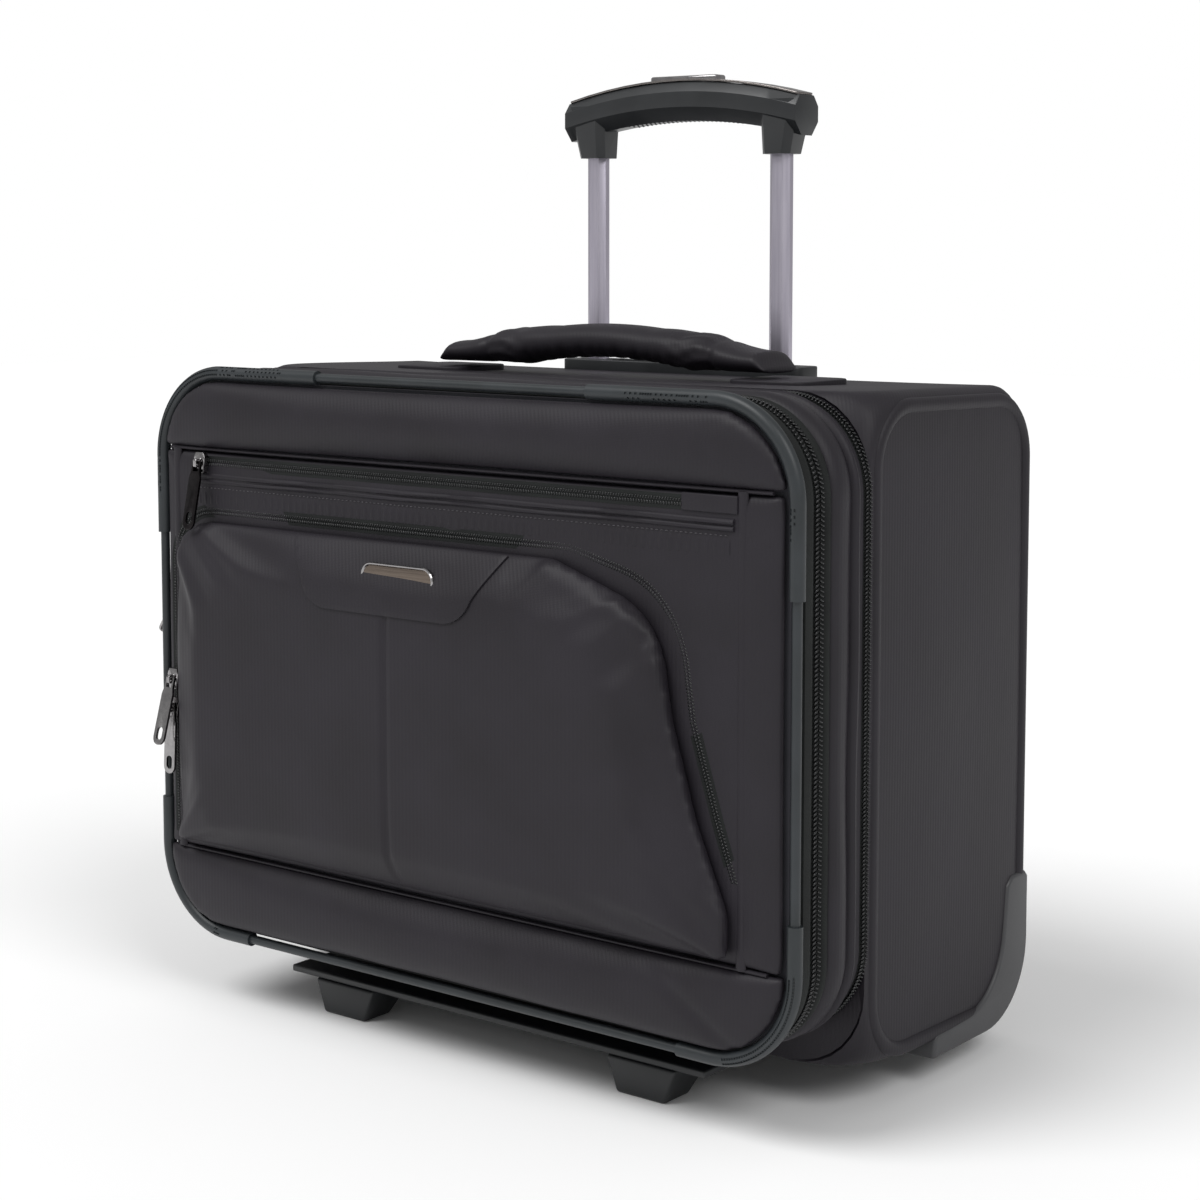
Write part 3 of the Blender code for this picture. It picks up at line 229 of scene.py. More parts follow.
def zip_tape():
    # woven polyester zip tape: green-black, with a herringbone that shows as fine diagonal lines
    made, tree, shader = blank("polyester zip tape", "#141616", 0.70, Specular_IOR_Level=0.25)
    place = object_place(tree)
    colour, _ = mottled(tree, place, 0.03, "#101212", "#191c1b")
    tree.links.new(colour, shader.inputs["Base Color"])
    slanted = object_place(tree, turn=(math.radians(35), math.radians(35), 0))
    herringbone = node(tree, "TexWave", {"Vector": slanted, "Scale": 1 / (1.1 * MM) / WAVE_BANDS}, bands_direction="Z")
    bumped(tree, shader, [(herringbone.outputs["Fac"], 0.10 * MM, 0.5)])
    return made


def zip_coil():
    # nylon monofilament coil: black and glossy, so each turn carries a small bright point
    made, tree, shader = blank("nylon coil", "#0d0e0f", 0.24, Specular_IOR_Level=0.5)
    colour, _ = mottled(tree, object_place(tree), 0.01, "#0a0b0c", "#131416")
    tree.links.new(colour, shader.inputs["Base Color"])
    return made


def drawn_metal(name, shades, roughness, streak, axis_scale, depth, anisotropic=0.0):
    """A metal with fine lines along one direction, from drawing or brushing."""
    made, tree, shader = blank(name, shades[0], roughness, 1.0, Anisotropic=anisotropic)
    lines = object_place(tree, scale=axis_scale)
    cloud = node(tree, "TexNoise", {"Vector": lines, "Scale": 1 / streak, "Detail": 4.0, "Roughness": 0.7})
    ramp = node(tree, "ValToRGB", {"Fac": cloud.outputs["Fac"]})
    ramp.color_ramp.elements[0].position, ramp.color_ramp.elements[1].position = 0.35, 0.65
    for element, shade in zip(ramp.color_ramp.elements, shades):
        element.color = linear(shade)
    tree.links.new(ramp.outputs["Color"], shader.inputs["Base Color"])
    tree.links.new(ranged(tree, cloud.outputs["Fac"], roughness - 0.06, roughness + 0.08),
                   shader.inputs["Roughness"])
    bumped(tree, shader, [(cloud.outputs["Fac"], depth, 0.4)])
    return made


def anodised_aluminium():
    # extruded and anodised aluminium: pale lavender silver with lines along the tube
    return drawn_metal("anodised aluminium", ("#bdb8c6", "#cbc6d2"), 0.34, 1.4 * MM, (1, 1, 0.02), 0.01 * MM)


def mill_aluminium():
    # aluminium as extruded: duller and greyer
    return drawn_metal("mill aluminium", ("#a9a9ab", "#bababc"), 0.42, 1.4 * MM, (1, 1, 0.02), 0.02 * MM)


def bright_nickel():
    # zinc castings, polished and nickel plated: nearly a mirror, with a few casting ripples
    return drawn_metal("bright nickel", ("#8f8d8e", "#a4a2a2"), 0.16, 6 * MM, (1, 1, 1), 0.03 * MM)


def black_nickel():
    # black nickel plate on the broad face of a puller: a dark mirror
    return drawn_metal("black nickel", ("#2b292a", "#383536"), 0.18, 6 * MM, (1, 1, 1), 0.02 * MM)


def gunmetal():
    # brushed zinc plated in gunmetal: the grip's cover, with lines along it
    return drawn_metal("gunmetal plate", ("#7b7674", "#8d8885"), 0.24, 1.2 * MM, (0.03, 1, 1), 0.01 * MM)


def brushed_bronze():
    # bronze-toned plate brushed lengthwise: the badge's face
    return drawn_metal("brushed bronze", ("#6a6058", "#7c7168"), 0.30, 0.8 * MM, (0.03, 1, 1), 0.01 * MM)


def steel():
    # zinc-plated steel: axles, rods and screws
    return drawn_metal("zinc-plated steel", ("#8f9194", "#a3a5a8"), 0.30, 3 * MM, (1, 1, 1), 0.02 * MM)


def thread():
    # bonded nylon thread: a black a little brighter than the cloth, each stitch with its own glint
    made, tree, shader = blank("bonded nylon thread", "#2a262b", 0.42, Sheen_Weight=0.2)
    colour, _ = mottled(tree, object_place(tree), 0.002, "#211e22", "#363138")
    tree.links.new(colour, shader.inputs["Base Color"])
    return made


FINISHES = {  # finish: (material, the record's slot)
    "fabric": (case_fabric(), "case_fabric"),
    "lining": (lining(), "lining"),
    "guard": (guard_rubber(), "guard_rubber"),
    "plastic": (moulded_plastic(), "moulded_plastic"),
    "dark plastic": (dark_plastic(), "moulded_plastic"),
    "grip plastic": (grip_plastic(), "moulded_plastic"),
    "tyre": (tyre_rubber(), "tyre"),
    "tape": (zip_tape(), "zip_tape"),
    "coil": (zip_coil(), "zip_tape"),
    "anodised": (anodised_aluminium(), "anodised_aluminium"),
    "mill": (mill_aluminium(), "mill_aluminium"),
    "nickel": (bright_nickel(), "bright_nickel"),
    "black nickel": (black_nickel(), "bright_nickel"),
    "gunmetal": (gunmetal(), "bright_nickel"),
    "bronze": (brushed_bronze(), "badge_bronze"),
    "steel": (steel(), "steel"),
    "thread": (thread(), "case_fabric"),
}


# ---------------------------------------------------------------- pieces and meshes
def mesh_from(bm, name="mesh"):
    mesh = bpy.data.meshes.new(name)
    bm.to_mesh(mesh)
    bm.free()
    return mesh


def applied(mesh, *modifiers):
    """The mesh after the modifiers, each given as (type, settings)."""
    holder = bpy.data.objects.new("holder", mesh)
    bpy.context.scene.collection.objects.link(holder)
    for kind, settings in modifiers:
        step = holder.modifiers.new(kind, kind)
        for key, value in settings.items():
            setattr(step, key, value)
    bpy.context.view_layer.update()
    graph = bpy.context.evaluated_depsgraph_get()
    made = bpy.data.meshes.new_from_object(holder.evaluated_get(graph))
    bpy.data.objects.remove(holder, do_unlink=True)
    return made


def piece(name, mesh, finish, body, replaces=(), smooth=40, placed=False, other_finishes=()):
    """A finished piece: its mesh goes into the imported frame, and it rides on its body."""
    if isinstance(mesh, bmesh.types.BMesh):
        mesh = mesh_from(mesh, name)
    if not placed:
        mesh.transform(Matrix.Translation(OFFSET))
    made = bpy.data.objects.new(name, mesh)
    bpy.context.scene.collection.objects.link(made)
    mesh.materials.clear()
    for each in (finish, *other_finishes):
        mesh.materials.append(FINISHES[each][0])
    mesh.shade_smooth()
    mesh.set_sharp_from_angle(angle=math.radians(smooth))
    if replaces:
        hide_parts(*replaces)
    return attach(made, body)


def body_of(name):
    return frame["nodes"][name]["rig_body"]


def welded_copy(name):
    """The CAD node's mesh with its loose triangles merged and its flat faces whole again."""
    bm = bmesh.new()
    bm.from_mesh(frame["nodes"][name].data)
    bmesh.ops.remove_doubles(bm, verts=bm.verts, dist=2e-6)
    bmesh.ops.dissolve_limit(bm, angle_limit=math.radians(1), verts=bm.verts, edges=bm.edges)
    return bm


def refined(name, finish, edge=0.6 * MM, segments=3, smooth=40, round_from=28):
    """A rigid CAD piece with rounded edges, standing for its node."""
    mesh = applied(mesh_from(welded_copy(name)),
                   ("BEVEL", {"width": edge, "segments": segments, "limit_method": "ANGLE",
                              "angle_limit": math.radians(round_from), "harden_normals": False,
                              "use_clamp_overlap": True, "miter_outer": "MITER_ARC"}))
    return piece(f"{name}_finished", mesh, finish, body_of(name), (name,), smooth, placed=True)


# ---------------------------------------------------------------- paths and lofts
def arc(centre, radius, start, end, steps):
    turn = [math.radians(start + (end - start) * i / steps) for i in range(steps + 1)]
    return [(centre[0] + radius * math.cos(a), centre[1] + radius * math.sin(a)) for a in turn]


def rounded(low_u, high_u, low_v, high_v, radius, steps=24):
    """A rectangle with round corners, anticlockwise from the right of its bottom."""
    corners = ((high_u - radius, low_v + radius, -90), (high_u - radius, high_v - radius, 0),
               (low_u + radius, high_v - radius, 90), (low_u + radius, low_v + radius, 180))
    return [point for u, v, start in corners for point in arc((u, v), radius, start, start + 90, steps)]


def paced(points, pitch, closed=False):
    """The polyline's points again, at equal distances as near to the pitch as fits."""
    points = [Vector(p) for p in points]
    if closed:
        points = points + [points[0]]
    reach = [0.0]
    for here, after in zip(points, points[1:]):
        reach.append(reach[-1] + (after - here).length)
    count = max(2, round(reach[-1] / pitch))
    made, at = [], 0
    for i in range(count + (not closed)):
        goal = reach[-1] * i / count
        while at < len(points) - 2 and reach[at + 1] < goal:
            at += 1
        span = reach[at + 1] - reach[at]
        share = (goal - reach[at]) / span if span else 0
        made.append(points[at].lerp(points[at + 1], min(share, 1)))
    return made


def frames_on(points, across, closed=False):
    """(place, outward, across) at each point. Outward is to the right of the way along, seen along across."""
    across = Vector(across).normalized()
    made = []
    for i, here in enumerate(points):
        before = points[i - 1] if closed or i else here
        after = points[(i + 1) % len(points)] if closed or i + 1 < len(points) else here
        along = (Vector(after) - Vector(before)).normalized()
        made.append((Vector(here), along.cross(across).normalized() * -1, across))
    return made


def loft(frames, profile, closed_path=False, closed_profile=True, shape=None, caps=True):
    """A profile of (outward, across) points taken along the frames; shape may change each of its points."""
    around = len(profile) - (not closed_profile)
    along = len(frames) - (not closed_path)
    bm = bmesh.new()
    bmesh.ops.create_grid(bm, x_segments=around, y_segments=along, size=0.5)
    for vert in bm.verts:
        i, j = round((vert.co.x + 0.5) * around), round((vert.co.y + 0.5) * along)
        here, out, across = frames[j % len(frames)]
        a, b = profile[i % len(profile)]
        if shape:
            a, b = shape(a, b, j / along, i / around)
        vert.co = here + out * a + across * b
    bmesh.ops.remove_doubles(bm, verts=bm.verts, dist=1e-6)
    if caps and closed_profile and not closed_path:
        bmesh.ops.holes_fill(bm, edges=bm.edges, sides=0)
    bmesh.ops.recalc_face_normals(bm, faces=bm.faces)
    return bm


def ring(radius_out, radius_across, sides=16):
    return [(radius_out * math.cos(math.tau * i / sides), radius_across * math.sin(math.tau * i / sides))
            for i in range(sides)]


def in_front(points, y):
    return [(x, y, z) for x, z in points]


def row_of(bead, places):
    """One mesh with a copy of the bead at each place."""
    bm = bmesh.new()
    for place in places:
        copy = bead.copy()
        copy.transform(place)
        bm.from_mesh(copy)
        bpy.data.meshes.remove(copy)
    return bm


def bead(length, width, height, subdivisions=1):
    """A small rounded grain, long in X, flat in Z."""
    bm = bmesh.new()
    bmesh.ops.create_icosphere(bm, subdivisions=subdivisions, radius=0.5)
    bmesh.ops.scale(bm, vec=(length, width, height), verts=bm.verts)
    return mesh_from(bm)


def set_on(frame_here, along, lean=0.0, out=0.0, across=0.0):
    """Where a bead goes: length across the row, width along it, turned by the lean, height outward."""
    here, outward, side = frame_here
    basis = Matrix((side, along, outward)).transposed().to_4x4()
    return Matrix.Translation(here + outward * out + side * across) @ basis @ Matrix.Rotation(lean, 4, "Z")


def chain(frames, pitch_side, tooth, lean, out, across, closed):
    """Places for one side of a coil, a tooth at each frame."""
    places = []
    for i, here in enumerate(frames):
        before = frames[i - 1][0] if closed or i else here[0]
        after = frames[(i + 1) % len(frames)][0] if closed or i + 1 < len(frames) else here[0]
        along = (after - before).normalized()
        moved = (here[0] + along * pitch_side, here[1], here[2])
        places.append(set_on(moved, along, lean, out, across))
    return row_of(tooth, places)


def block(low, high, edge=0.0, segments=3):
    bm = bmesh.new()
    bmesh.ops.create_cube(bm, size=1.0)
    bmesh.ops.scale(bm, vec=Vector(high) - Vector(low), verts=bm.verts)
    bmesh.ops.translate(bm, vec=(Vector(high) + Vector(low)) / 2, verts=bm.verts)
    if edge:
        bmesh.ops.bevel(bm, geom=bm.edges[:], offset=edge, segments=segments, profile=0.5, affect="EDGES", material=-1)
    return bm


def slab(outline, axis, near, far, edge=0.0, segments=4):
    """A flat outline pushed from near to far along X, Y or Z, with rounded rims."""
    bm = bmesh.new()
    spots = {"x": lambda u, v: (near, u, v), "y": lambda u, v: (u, near, v), "z": lambda u, v: (u, v, near)}[axis]
    face = bm.faces.new([bm.verts.new(spots(u, v)) for u, v in outline])
    pushed = bmesh.ops.extrude_face_region(bm, geom=[face])["geom"]
    far_verts = [v for v in pushed if isinstance(v, bmesh.types.BMVert)]
    push = {"x": (far - near, 0, 0), "y": (0, far - near, 0), "z": (0, 0, far - near)}[axis]
    bmesh.ops.translate(bm, vec=push, verts=far_verts)
    bmesh.ops.recalc_face_normals(bm, faces=bm.faces)
    if edge:
        rims = [e for e in bm.edges if e.calc_face_angle(0) > math.radians(50)]
        bmesh.ops.bevel(bm, geom=rims, offset=edge, segments=segments, profile=0.5, affect="EDGES", material=-1,
                        clamp_overlap=True)
    return bm


def cut(mesh, *cutters, operation="DIFFERENCE"):
    """The mesh after Booleans with the other meshes."""
    for other in cutters:
        tool = bpy.data.objects.new("cutter", other)
        bpy.context.scene.collection.objects.link(tool)
        mesh = applied(mesh, ("BOOLEAN", {"operation": operation, "object": tool, "solver": "EXACT"}))
        bpy.data.objects.remove(tool, do_unlink=True)
    return mesh


def pressed_on(bm, target, offset=0.5 * MM):
    """Lays a thin piece against the front of another piece, by a projection along Y."""
    mesh = mesh_from(bm)
    mesh.transform(Matrix.Translation(OFFSET + Vector((0, -0.06, 0))))
    made = applied(mesh, ("SHRINKWRAP", {"wrap_method": "PROJECT", "use_project_y": True, "target": target,
                                         "use_negative_direction": False, "use_positive_direction": True,
                                         "wrap_mode": "ON_SURFACE", "offset": 0.0}))
    made.transform(Matrix.Translation(Vector((0, -offset, 0))))
    return made


def stitches(path_frames, along_length=2.6 * MM, out=0.0, across=0.0, thick=0.55 * MM):
    """A row of thread, a grain for each stitch."""
    grain = bead(thick, along_length * 0.78, thick)
    return chain(path_frames, 0.0, grain, 0.0, out, across, closed=False)


# ---------------------------------------------------------------- padded cloth
def swell(mesh, held, pressure, cap, last_frame=18, stiffness=12.0):
    """Blows a closed cloth skin up a little with the cloth simulation. Held points stay, and no point moves
    further than the cap."""
    start = [v.co.copy() for v in mesh.vertices]
    holder = bpy.data.objects.new("swelling", mesh)
    bpy.context.scene.collection.objects.link(holder)
    group = holder.vertex_groups.new(name="held")
    group.add([i for i, co in enumerate(start) if held(co)], 1.0, "REPLACE")
    cloth = holder.modifiers.new("swelling", "CLOTH")
    cloth.settings.vertex_group_mass = "held"
    cloth.settings.quality = 4
    cloth.settings.mass = 0.25
    cloth.settings.tension_stiffness = cloth.settings.compression_stiffness = stiffness
    cloth.settings.shear_stiffness = stiffness / 2
    cloth.settings.bending_stiffness = 0.6
    cloth.settings.use_pressure = True
    cloth.settings.uniform_pressure_force = pressure
    cloth.settings.effector_weights.gravity = 0.0
    cloth.point_cache.frame_start, cloth.point_cache.frame_end = 1, last_frame
    for step in range(1, last_frame + 1):
        bpy.context.scene.frame_set(step)
    graph = bpy.context.evaluated_depsgraph_get()
    made = bpy.data.meshes.new_from_object(holder.evaluated_get(graph))
    bpy.data.objects.remove(holder, do_unlink=True)
    bpy.context.scene.frame_set(1)
    for vert, old in zip(made.vertices, start):
        moved = vert.co - old
        if moved.length > cap:
            vert.co = old + moved * (cap / moved.length)
    return made


def padded_skin(cad_node, voxel, pressure, cap, held, shape=None, after=None, smoothing=2):
    """A padded piece from its plain solid: remeshed, shaped, blown up by simulation and made finer. In the
    case's frame."""
    mesh = mesh_from(welded_copy(cad_node))
    mesh.transform(Matrix.Translation(-OFFSET))
    mesh = applied(mesh, ("REMESH", {"mode": "VOXEL", "voxel_size": voxel}))
    if shape:
        for vert in mesh.vertices:
            vert.co = shape(vert.co)
    mesh = swell(mesh, held, pressure, cap)
    mesh = applied(mesh, ("SMOOTH", {"factor": 0.5, "iterations": smoothing}),
                   ("SUBSURF", {"levels": 1, "render_levels": 1}))
    if after:
        for vert in mesh.vertices:
            vert.co = after(vert.co)
    return mesh


def hill(value, low, high, power=2.0):
    """1 in the middle of a range and 0 at its ends and beyond."""
    share = (2 * value - low - high) / (high - low)
    return max(0.0, 1 - abs(share) ** power)


def ease(value, start, end):
    """0 before start, 1 after end, and a smooth step between."""
    share = min(max((value - start) / (end - start), 0.0), 1.0)
    return share * share * (3 - 2 * share)


def groove(distance, width, depth):
    return depth * math.exp(-((distance / width) ** 2))


# ---------------------------------------------------------------- front flap
HINGE_BODY = "front_flap"
POCKET_SEAM_X = -0.024


def wavy(co, size, amount, seed=0.0):
    """A gentle unevenness of the cloth."""
    return amount * noise.noise(Vector((co.x / size + seed, co.z / size, co.y / size)))


def top_band():
    low, high = place_of("top_band")

    def crown(co):
        rise = 3.2 * MM * hill(co.z, low.z, high.z, 2.4) * hill(co.x, low.x, high.x, 8)
        front = ease(co.y, high.y, low.y)
        return Vector((co.x, co.y - front * (rise + wavy(co, 0.05, 0.7 * MM)), co.z))

    mesh = padded_skin("top_band", 3.2 * MM, 3.0, 4 * MM, lambda co: co.y > high.y - 2.6 * MM, crown)
    piece("top_band_padded", mesh, "fabric", HINGE_BODY, ("top_band",), 180)


def upper_panel():
    low, high = PANEL_LOW, PANEL_HIGH

    def crown(co):
        front = ease(co.y, high.y, low.y)
        return Vector((co.x, co.y - front * wavy(co, 0.06, 0.6 * MM, 3), co.z))

    mesh = padded_skin("upper_pocket_panel", 4.5 * MM, 1.5, 1.2 * MM, lambda co: co.y > high.y - 2.6 * MM, crown)
    piece("upper_pocket_padded", mesh, "fabric", HINGE_BODY, ("upper_pocket_panel",), 180)


def lower_pocket():
    low, high = POCKET_LOW, POCKET_HIGH

    def crown(co):
        front = ease(co.y, high.y, low.y + 2 * MM)
        rise = 3.0 * MM * hill(co.x, low.x, high.x, 2.6) * hill(co.z, low.z, high.z, 2.6)
        return Vector((co.x, co.y - front * (rise + wavy(co, 0.07, 1.0 * MM, 7)), co.z))

    def sewn(co):
        front = ease(co.y, high.y - 4 * MM, low.y + 3 * MM)
        below_tab = ease(co.z, 0.256, 0.250)
        return Vector((co.x, co.y + front * below_tab * groove(co.x - POCKET_SEAM_X, 1.9 * MM, 1.5 * MM), co.z))

    mesh = padded_skin("lower_pocket_panel", 3.6 * MM, 4.0, 5 * MM, lambda co: co.y > high.y - 4 * MM, crown, sewn)
    return piece("lower_pocket_padded", mesh, "fabric", HINGE_BODY, ("lower_pocket_panel",), 180)


def bottom_band():
    low, high = place_of("bottom_band")

    def crown(co):
        rise = 4.0 * MM * hill(co.z, low.z, high.z, 2.4) * hill(co.x, low.x, high.x, 6)
        front = ease(co.y, high.y, low.y)
        return Vector((co.x, co.y - front * (rise + wavy(co, 0.05, 1.0 * MM, 11)), co.z))

    def creased(co):
        front = ease(co.y, high.y - 1 * MM, low.y)
        slant = (co.x - 0.172) * 0.55 + (co.z - 0.066) * 0.84
        fade = hill(co.x, 0.130, 0.215) * hill(co.z, 0.045, 0.094)
        return Vector((co.x, co.y + front * fade * groove(slant, 4 * MM, 1.8 * MM), co.z))

    mesh = padded_skin("bottom_band", 3.2 * MM, 3.0, 4 * MM, lambda co: co.y > high.y - 2.6 * MM, crown, creased)
    piece("bottom_band_padded", mesh, "fabric", HINGE_BODY, ("bottom_band",), 180)


def badge(pocket):
    """A cloth tab in a half oval, with the blank badge on it: a polished rim round a brushed face."""
    left, right, top, bottom = -0.101, 0.052, 0.2875, 0.251
    outline = [(left, top)]
    outline += arc((left + 0.034, bottom + 0.020), 0.020, 200, 270, 8)
    outline += arc((right - 0.034, bottom + 0.020), 0.020, 270, 340, 8)
    outline += [(right, top)]
    bm = bmesh.new()
    face = bm.faces.new([bm.verts.new((x, 0, z)) for x, z in outline])
    bmesh.ops.recalc_face_normals(bm, faces=[face])
    for level in range(1, 12):
        bmesh.ops.bisect_plane(bm, geom=bm.verts[:] + bm.edges[:] + bm.faces[:],
                               plane_co=(0, 0, bottom + level * 3.2 * MM), plane_no=(0, 0, 1))
    for level in range(1, 38):
        bmesh.ops.bisect_plane(bm, geom=bm.verts[:] + bm.edges[:] + bm.faces[:],
                               plane_co=(left + level * 4 * MM, 0, 0), plane_no=(1, 0, 0))
    tab = pressed_on(bm, pocket, 0.1 * MM)
    tab = applied(tab, ("SOLIDIFY", {"thickness": 1.0 * MM, "offset": 1.0}),
                  ("BEVEL", {"width": 0.35 * MM, "segments": 2, "limit_method": "ANGLE"}))
    piece("badge_tab", tab, "fabric", HINGE_BODY, placed=True)

    low, high = place_of("badge")
    centre = (low + high) / 2
    half_height = (high.z - low.z) / 2
    pill = rounded(low.x, high.x, low.z, high.z, half_height - 0.1 * MM, 10)
    rim_frames = frames_on(paced(in_front(pill, centre.y), 1.0 * MM, True), (0, 1, 0), True)
    rim = [(-1.5 * MM, 1.1 * MM), (0.0, 1.1 * MM), (0.0, -0.5 * MM), (-0.4 * MM, -1.1 * MM), (-1.0 * MM, -1.1 * MM),
           (-1.5 * MM, -0.5 * MM)]
    piece("badge_rim", loft(rim_frames, rim, True), "nickel", HINGE_BODY, ("badge",), 30)
    inner = rounded(low.x + 1.5 * MM, high.x - 1.5 * MM, low.z + 1.5 * MM, high.z - 1.5 * MM,
                    half_height - 1.6 * MM, 10)
    piece("badge_face", slab(inner, "y", centre.y + 1.0 * MM, centre.y - 0.6 * MM, 0.3 * MM), "bronze", HINGE_BODY)


def edge_piping():
    """The piping round the flap, and a perforated rubber guard over it at each corner."""
    outline = rounded(PIPING_LOW.x + PIPING_RADIUS, PIPING_HIGH.x - PIPING_RADIUS, PIPING_LOW.z + PIPING_RADIUS,
                      PIPING_HIGH.z - PIPING_RADIUS, CORNER - PIPING_RADIUS)
    frames = frames_on(paced(in_front(outline, 0), 4 * MM, True), (0, 1, 0), True)
    piece("edge_piping_round", loft(frames, ring(PIPING_RADIUS, PIPING_RADIUS, 14), True), "guard", HINGE_BODY,
          ("edge_piping",), 60)
    for high in ("top", "bottom"):
        for side in ("left", "right"):
            corner_guard(high, side)


HOLE_PITCH = 3.2 * MM
PLAIN_END = 24 * MM


def corner_guard(high, side):
    low, top = place_of(f"corner_guard_{high}_{side}")
    radius = (top.y - low.y) / 2
    bend = CORNER - PIPING_RADIUS
    up = 1 if high == "top" else -1
    edge_x = PIPING_HIGH.x - PIPING_RADIUS
    level = PIPING_HIGH.z - PIPING_RADIUS if up > 0 else PIPING_LOW.z + PIPING_RADIUS
    near_x = -top.x if side == "left" else low.x
    far_z = low.z if up > 0 else top.z
    centre = (edge_x - bend, level - up * bend)
    points = [(near_x, level)]
    points += [(x, centre[1] + up * (z - centre[1])) for x, z in reversed(arc(centre, bend, 0, 90, 24))]
    points += [(edge_x, far_z)]
    mirror = -1 if side == "left" else 1
    path = paced([(mirror * x, 0, z) for x, z in points], HOLE_PITCH / 2)
    frames = frames_on(path, (0, 1, 0))
    sides = 20
    bm = loft(frames, ring(radius, radius, sides), caps=False)
    facing = Vector((0, -1, 0))
    length = HOLE_PITCH / 2 * (len(path) - 1)
    picked = []
    for face in bm.faces:
        spot = face.calc_center_median()
        index = min(range(len(path)), key=lambda i: (path[i] - Vector((spot.x, 0, spot.z))).length_squared)
        along = index * HOLE_PITCH / 2
        if not PLAIN_END < along < length - PLAIN_END:
            continue
        out = frames[index][1]
        outward = spot - path[index]
        angle = math.degrees(math.atan2(outward.dot(facing), outward.dot(out)))
        row = round((angle % 360) / (360 / sides) - 0.5)
        if row in (1, 3, 16, 18, 5, 14) and (index + (row in (3, 14, 18))) % 2 == 0:
            picked.append(face)
    bmesh.ops.inset_individual(bm, faces=picked, thickness=0.10 * MM, depth=0.0)
    bmesh.ops.inset_individual(bm, faces=picked, thickness=0.10 * MM, depth=-0.55 * MM)
    bmesh.ops.holes_fill(bm, edges=bm.edges, sides=0)
    bmesh.ops.recalc_face_normals(bm, faces=bm.faces)
    name = f"corner_guard_{high}_{side}"
    piece(f"{name}_perforated", bm, "guard", HINGE_BODY, (name,), 50)


def tape_ribbon(path, width, thickness, y):
    frames = frames_on(paced(in_front(path, y), 3 * MM), (0, 1, 0))
    half = width / 2
    profile = [(-half, 0), (-half, thickness), (half, thickness), (half, 0)]
    return loft(frames, profile)


def pocket_zip_path():
    """The lower pocket's zip: up the left, over the top and down the slanting right."""
    low, high = place_of("lower_pocket_zip")
    side, top = low.x + 3.5 * MM, high.z - 3.5 * MM
    bend = 31.5 * MM
    path = [(side, low.z)]
    path += reversed(arc((side + bend, top - bend), bend, 90, 180, 10))
    path += [(0.088, top)]
    path += reversed(arc((0.1095, POCKET_HIGH.z - 0.056), 0.0535, 10, 76, 10))
    path += [(0.1665, 0.2140), (0.1815, 0.1660), (0.1915, 0.138)]
    return path


def pocket_zips():
    """A tape with a two-row coil for each pocket."""
    tape_back = place_of("lower_pocket_zip")[1].y
    level = (UPPER_ZIP_LOW.z + UPPER_ZIP_HIGH.z) / 2
    for name, path in (("lower_pocket", pocket_zip_path()),
                       ("upper_pocket", [(UPPER_ZIP_LOW.x, level), (UPPER_ZIP_HIGH.x, level)])):
        tape = tape_ribbon(path, 7.4 * MM, -0.9 * MM, tape_back)
        piece(f"{name}_tape", tape, "tape", HINGE_BODY, (f"{name}_zip",))
        points = paced(in_front(path, tape_back - 0.8 * MM), 1.7 * MM)
        frames = [(here, Vector((0, -1, 0)), out) for here, out, _ in frames_on(points, (0, 1, 0))]
        tooth = bead(2.5 * MM, 1.25 * MM, 1.2 * MM)
        rows = chain(frames, 0.0, tooth, math.radians(24), 0.1 * MM, 1.05 * MM, False)
        other = mesh_from(chain(frames, 0.85 * MM, tooth, math.radians(-24), 0.1 * MM, -1.05 * MM, False))
        rows.from_mesh(other)
        piece(f"{name}_coil", rows, "coil", HINGE_BODY, smooth=180)


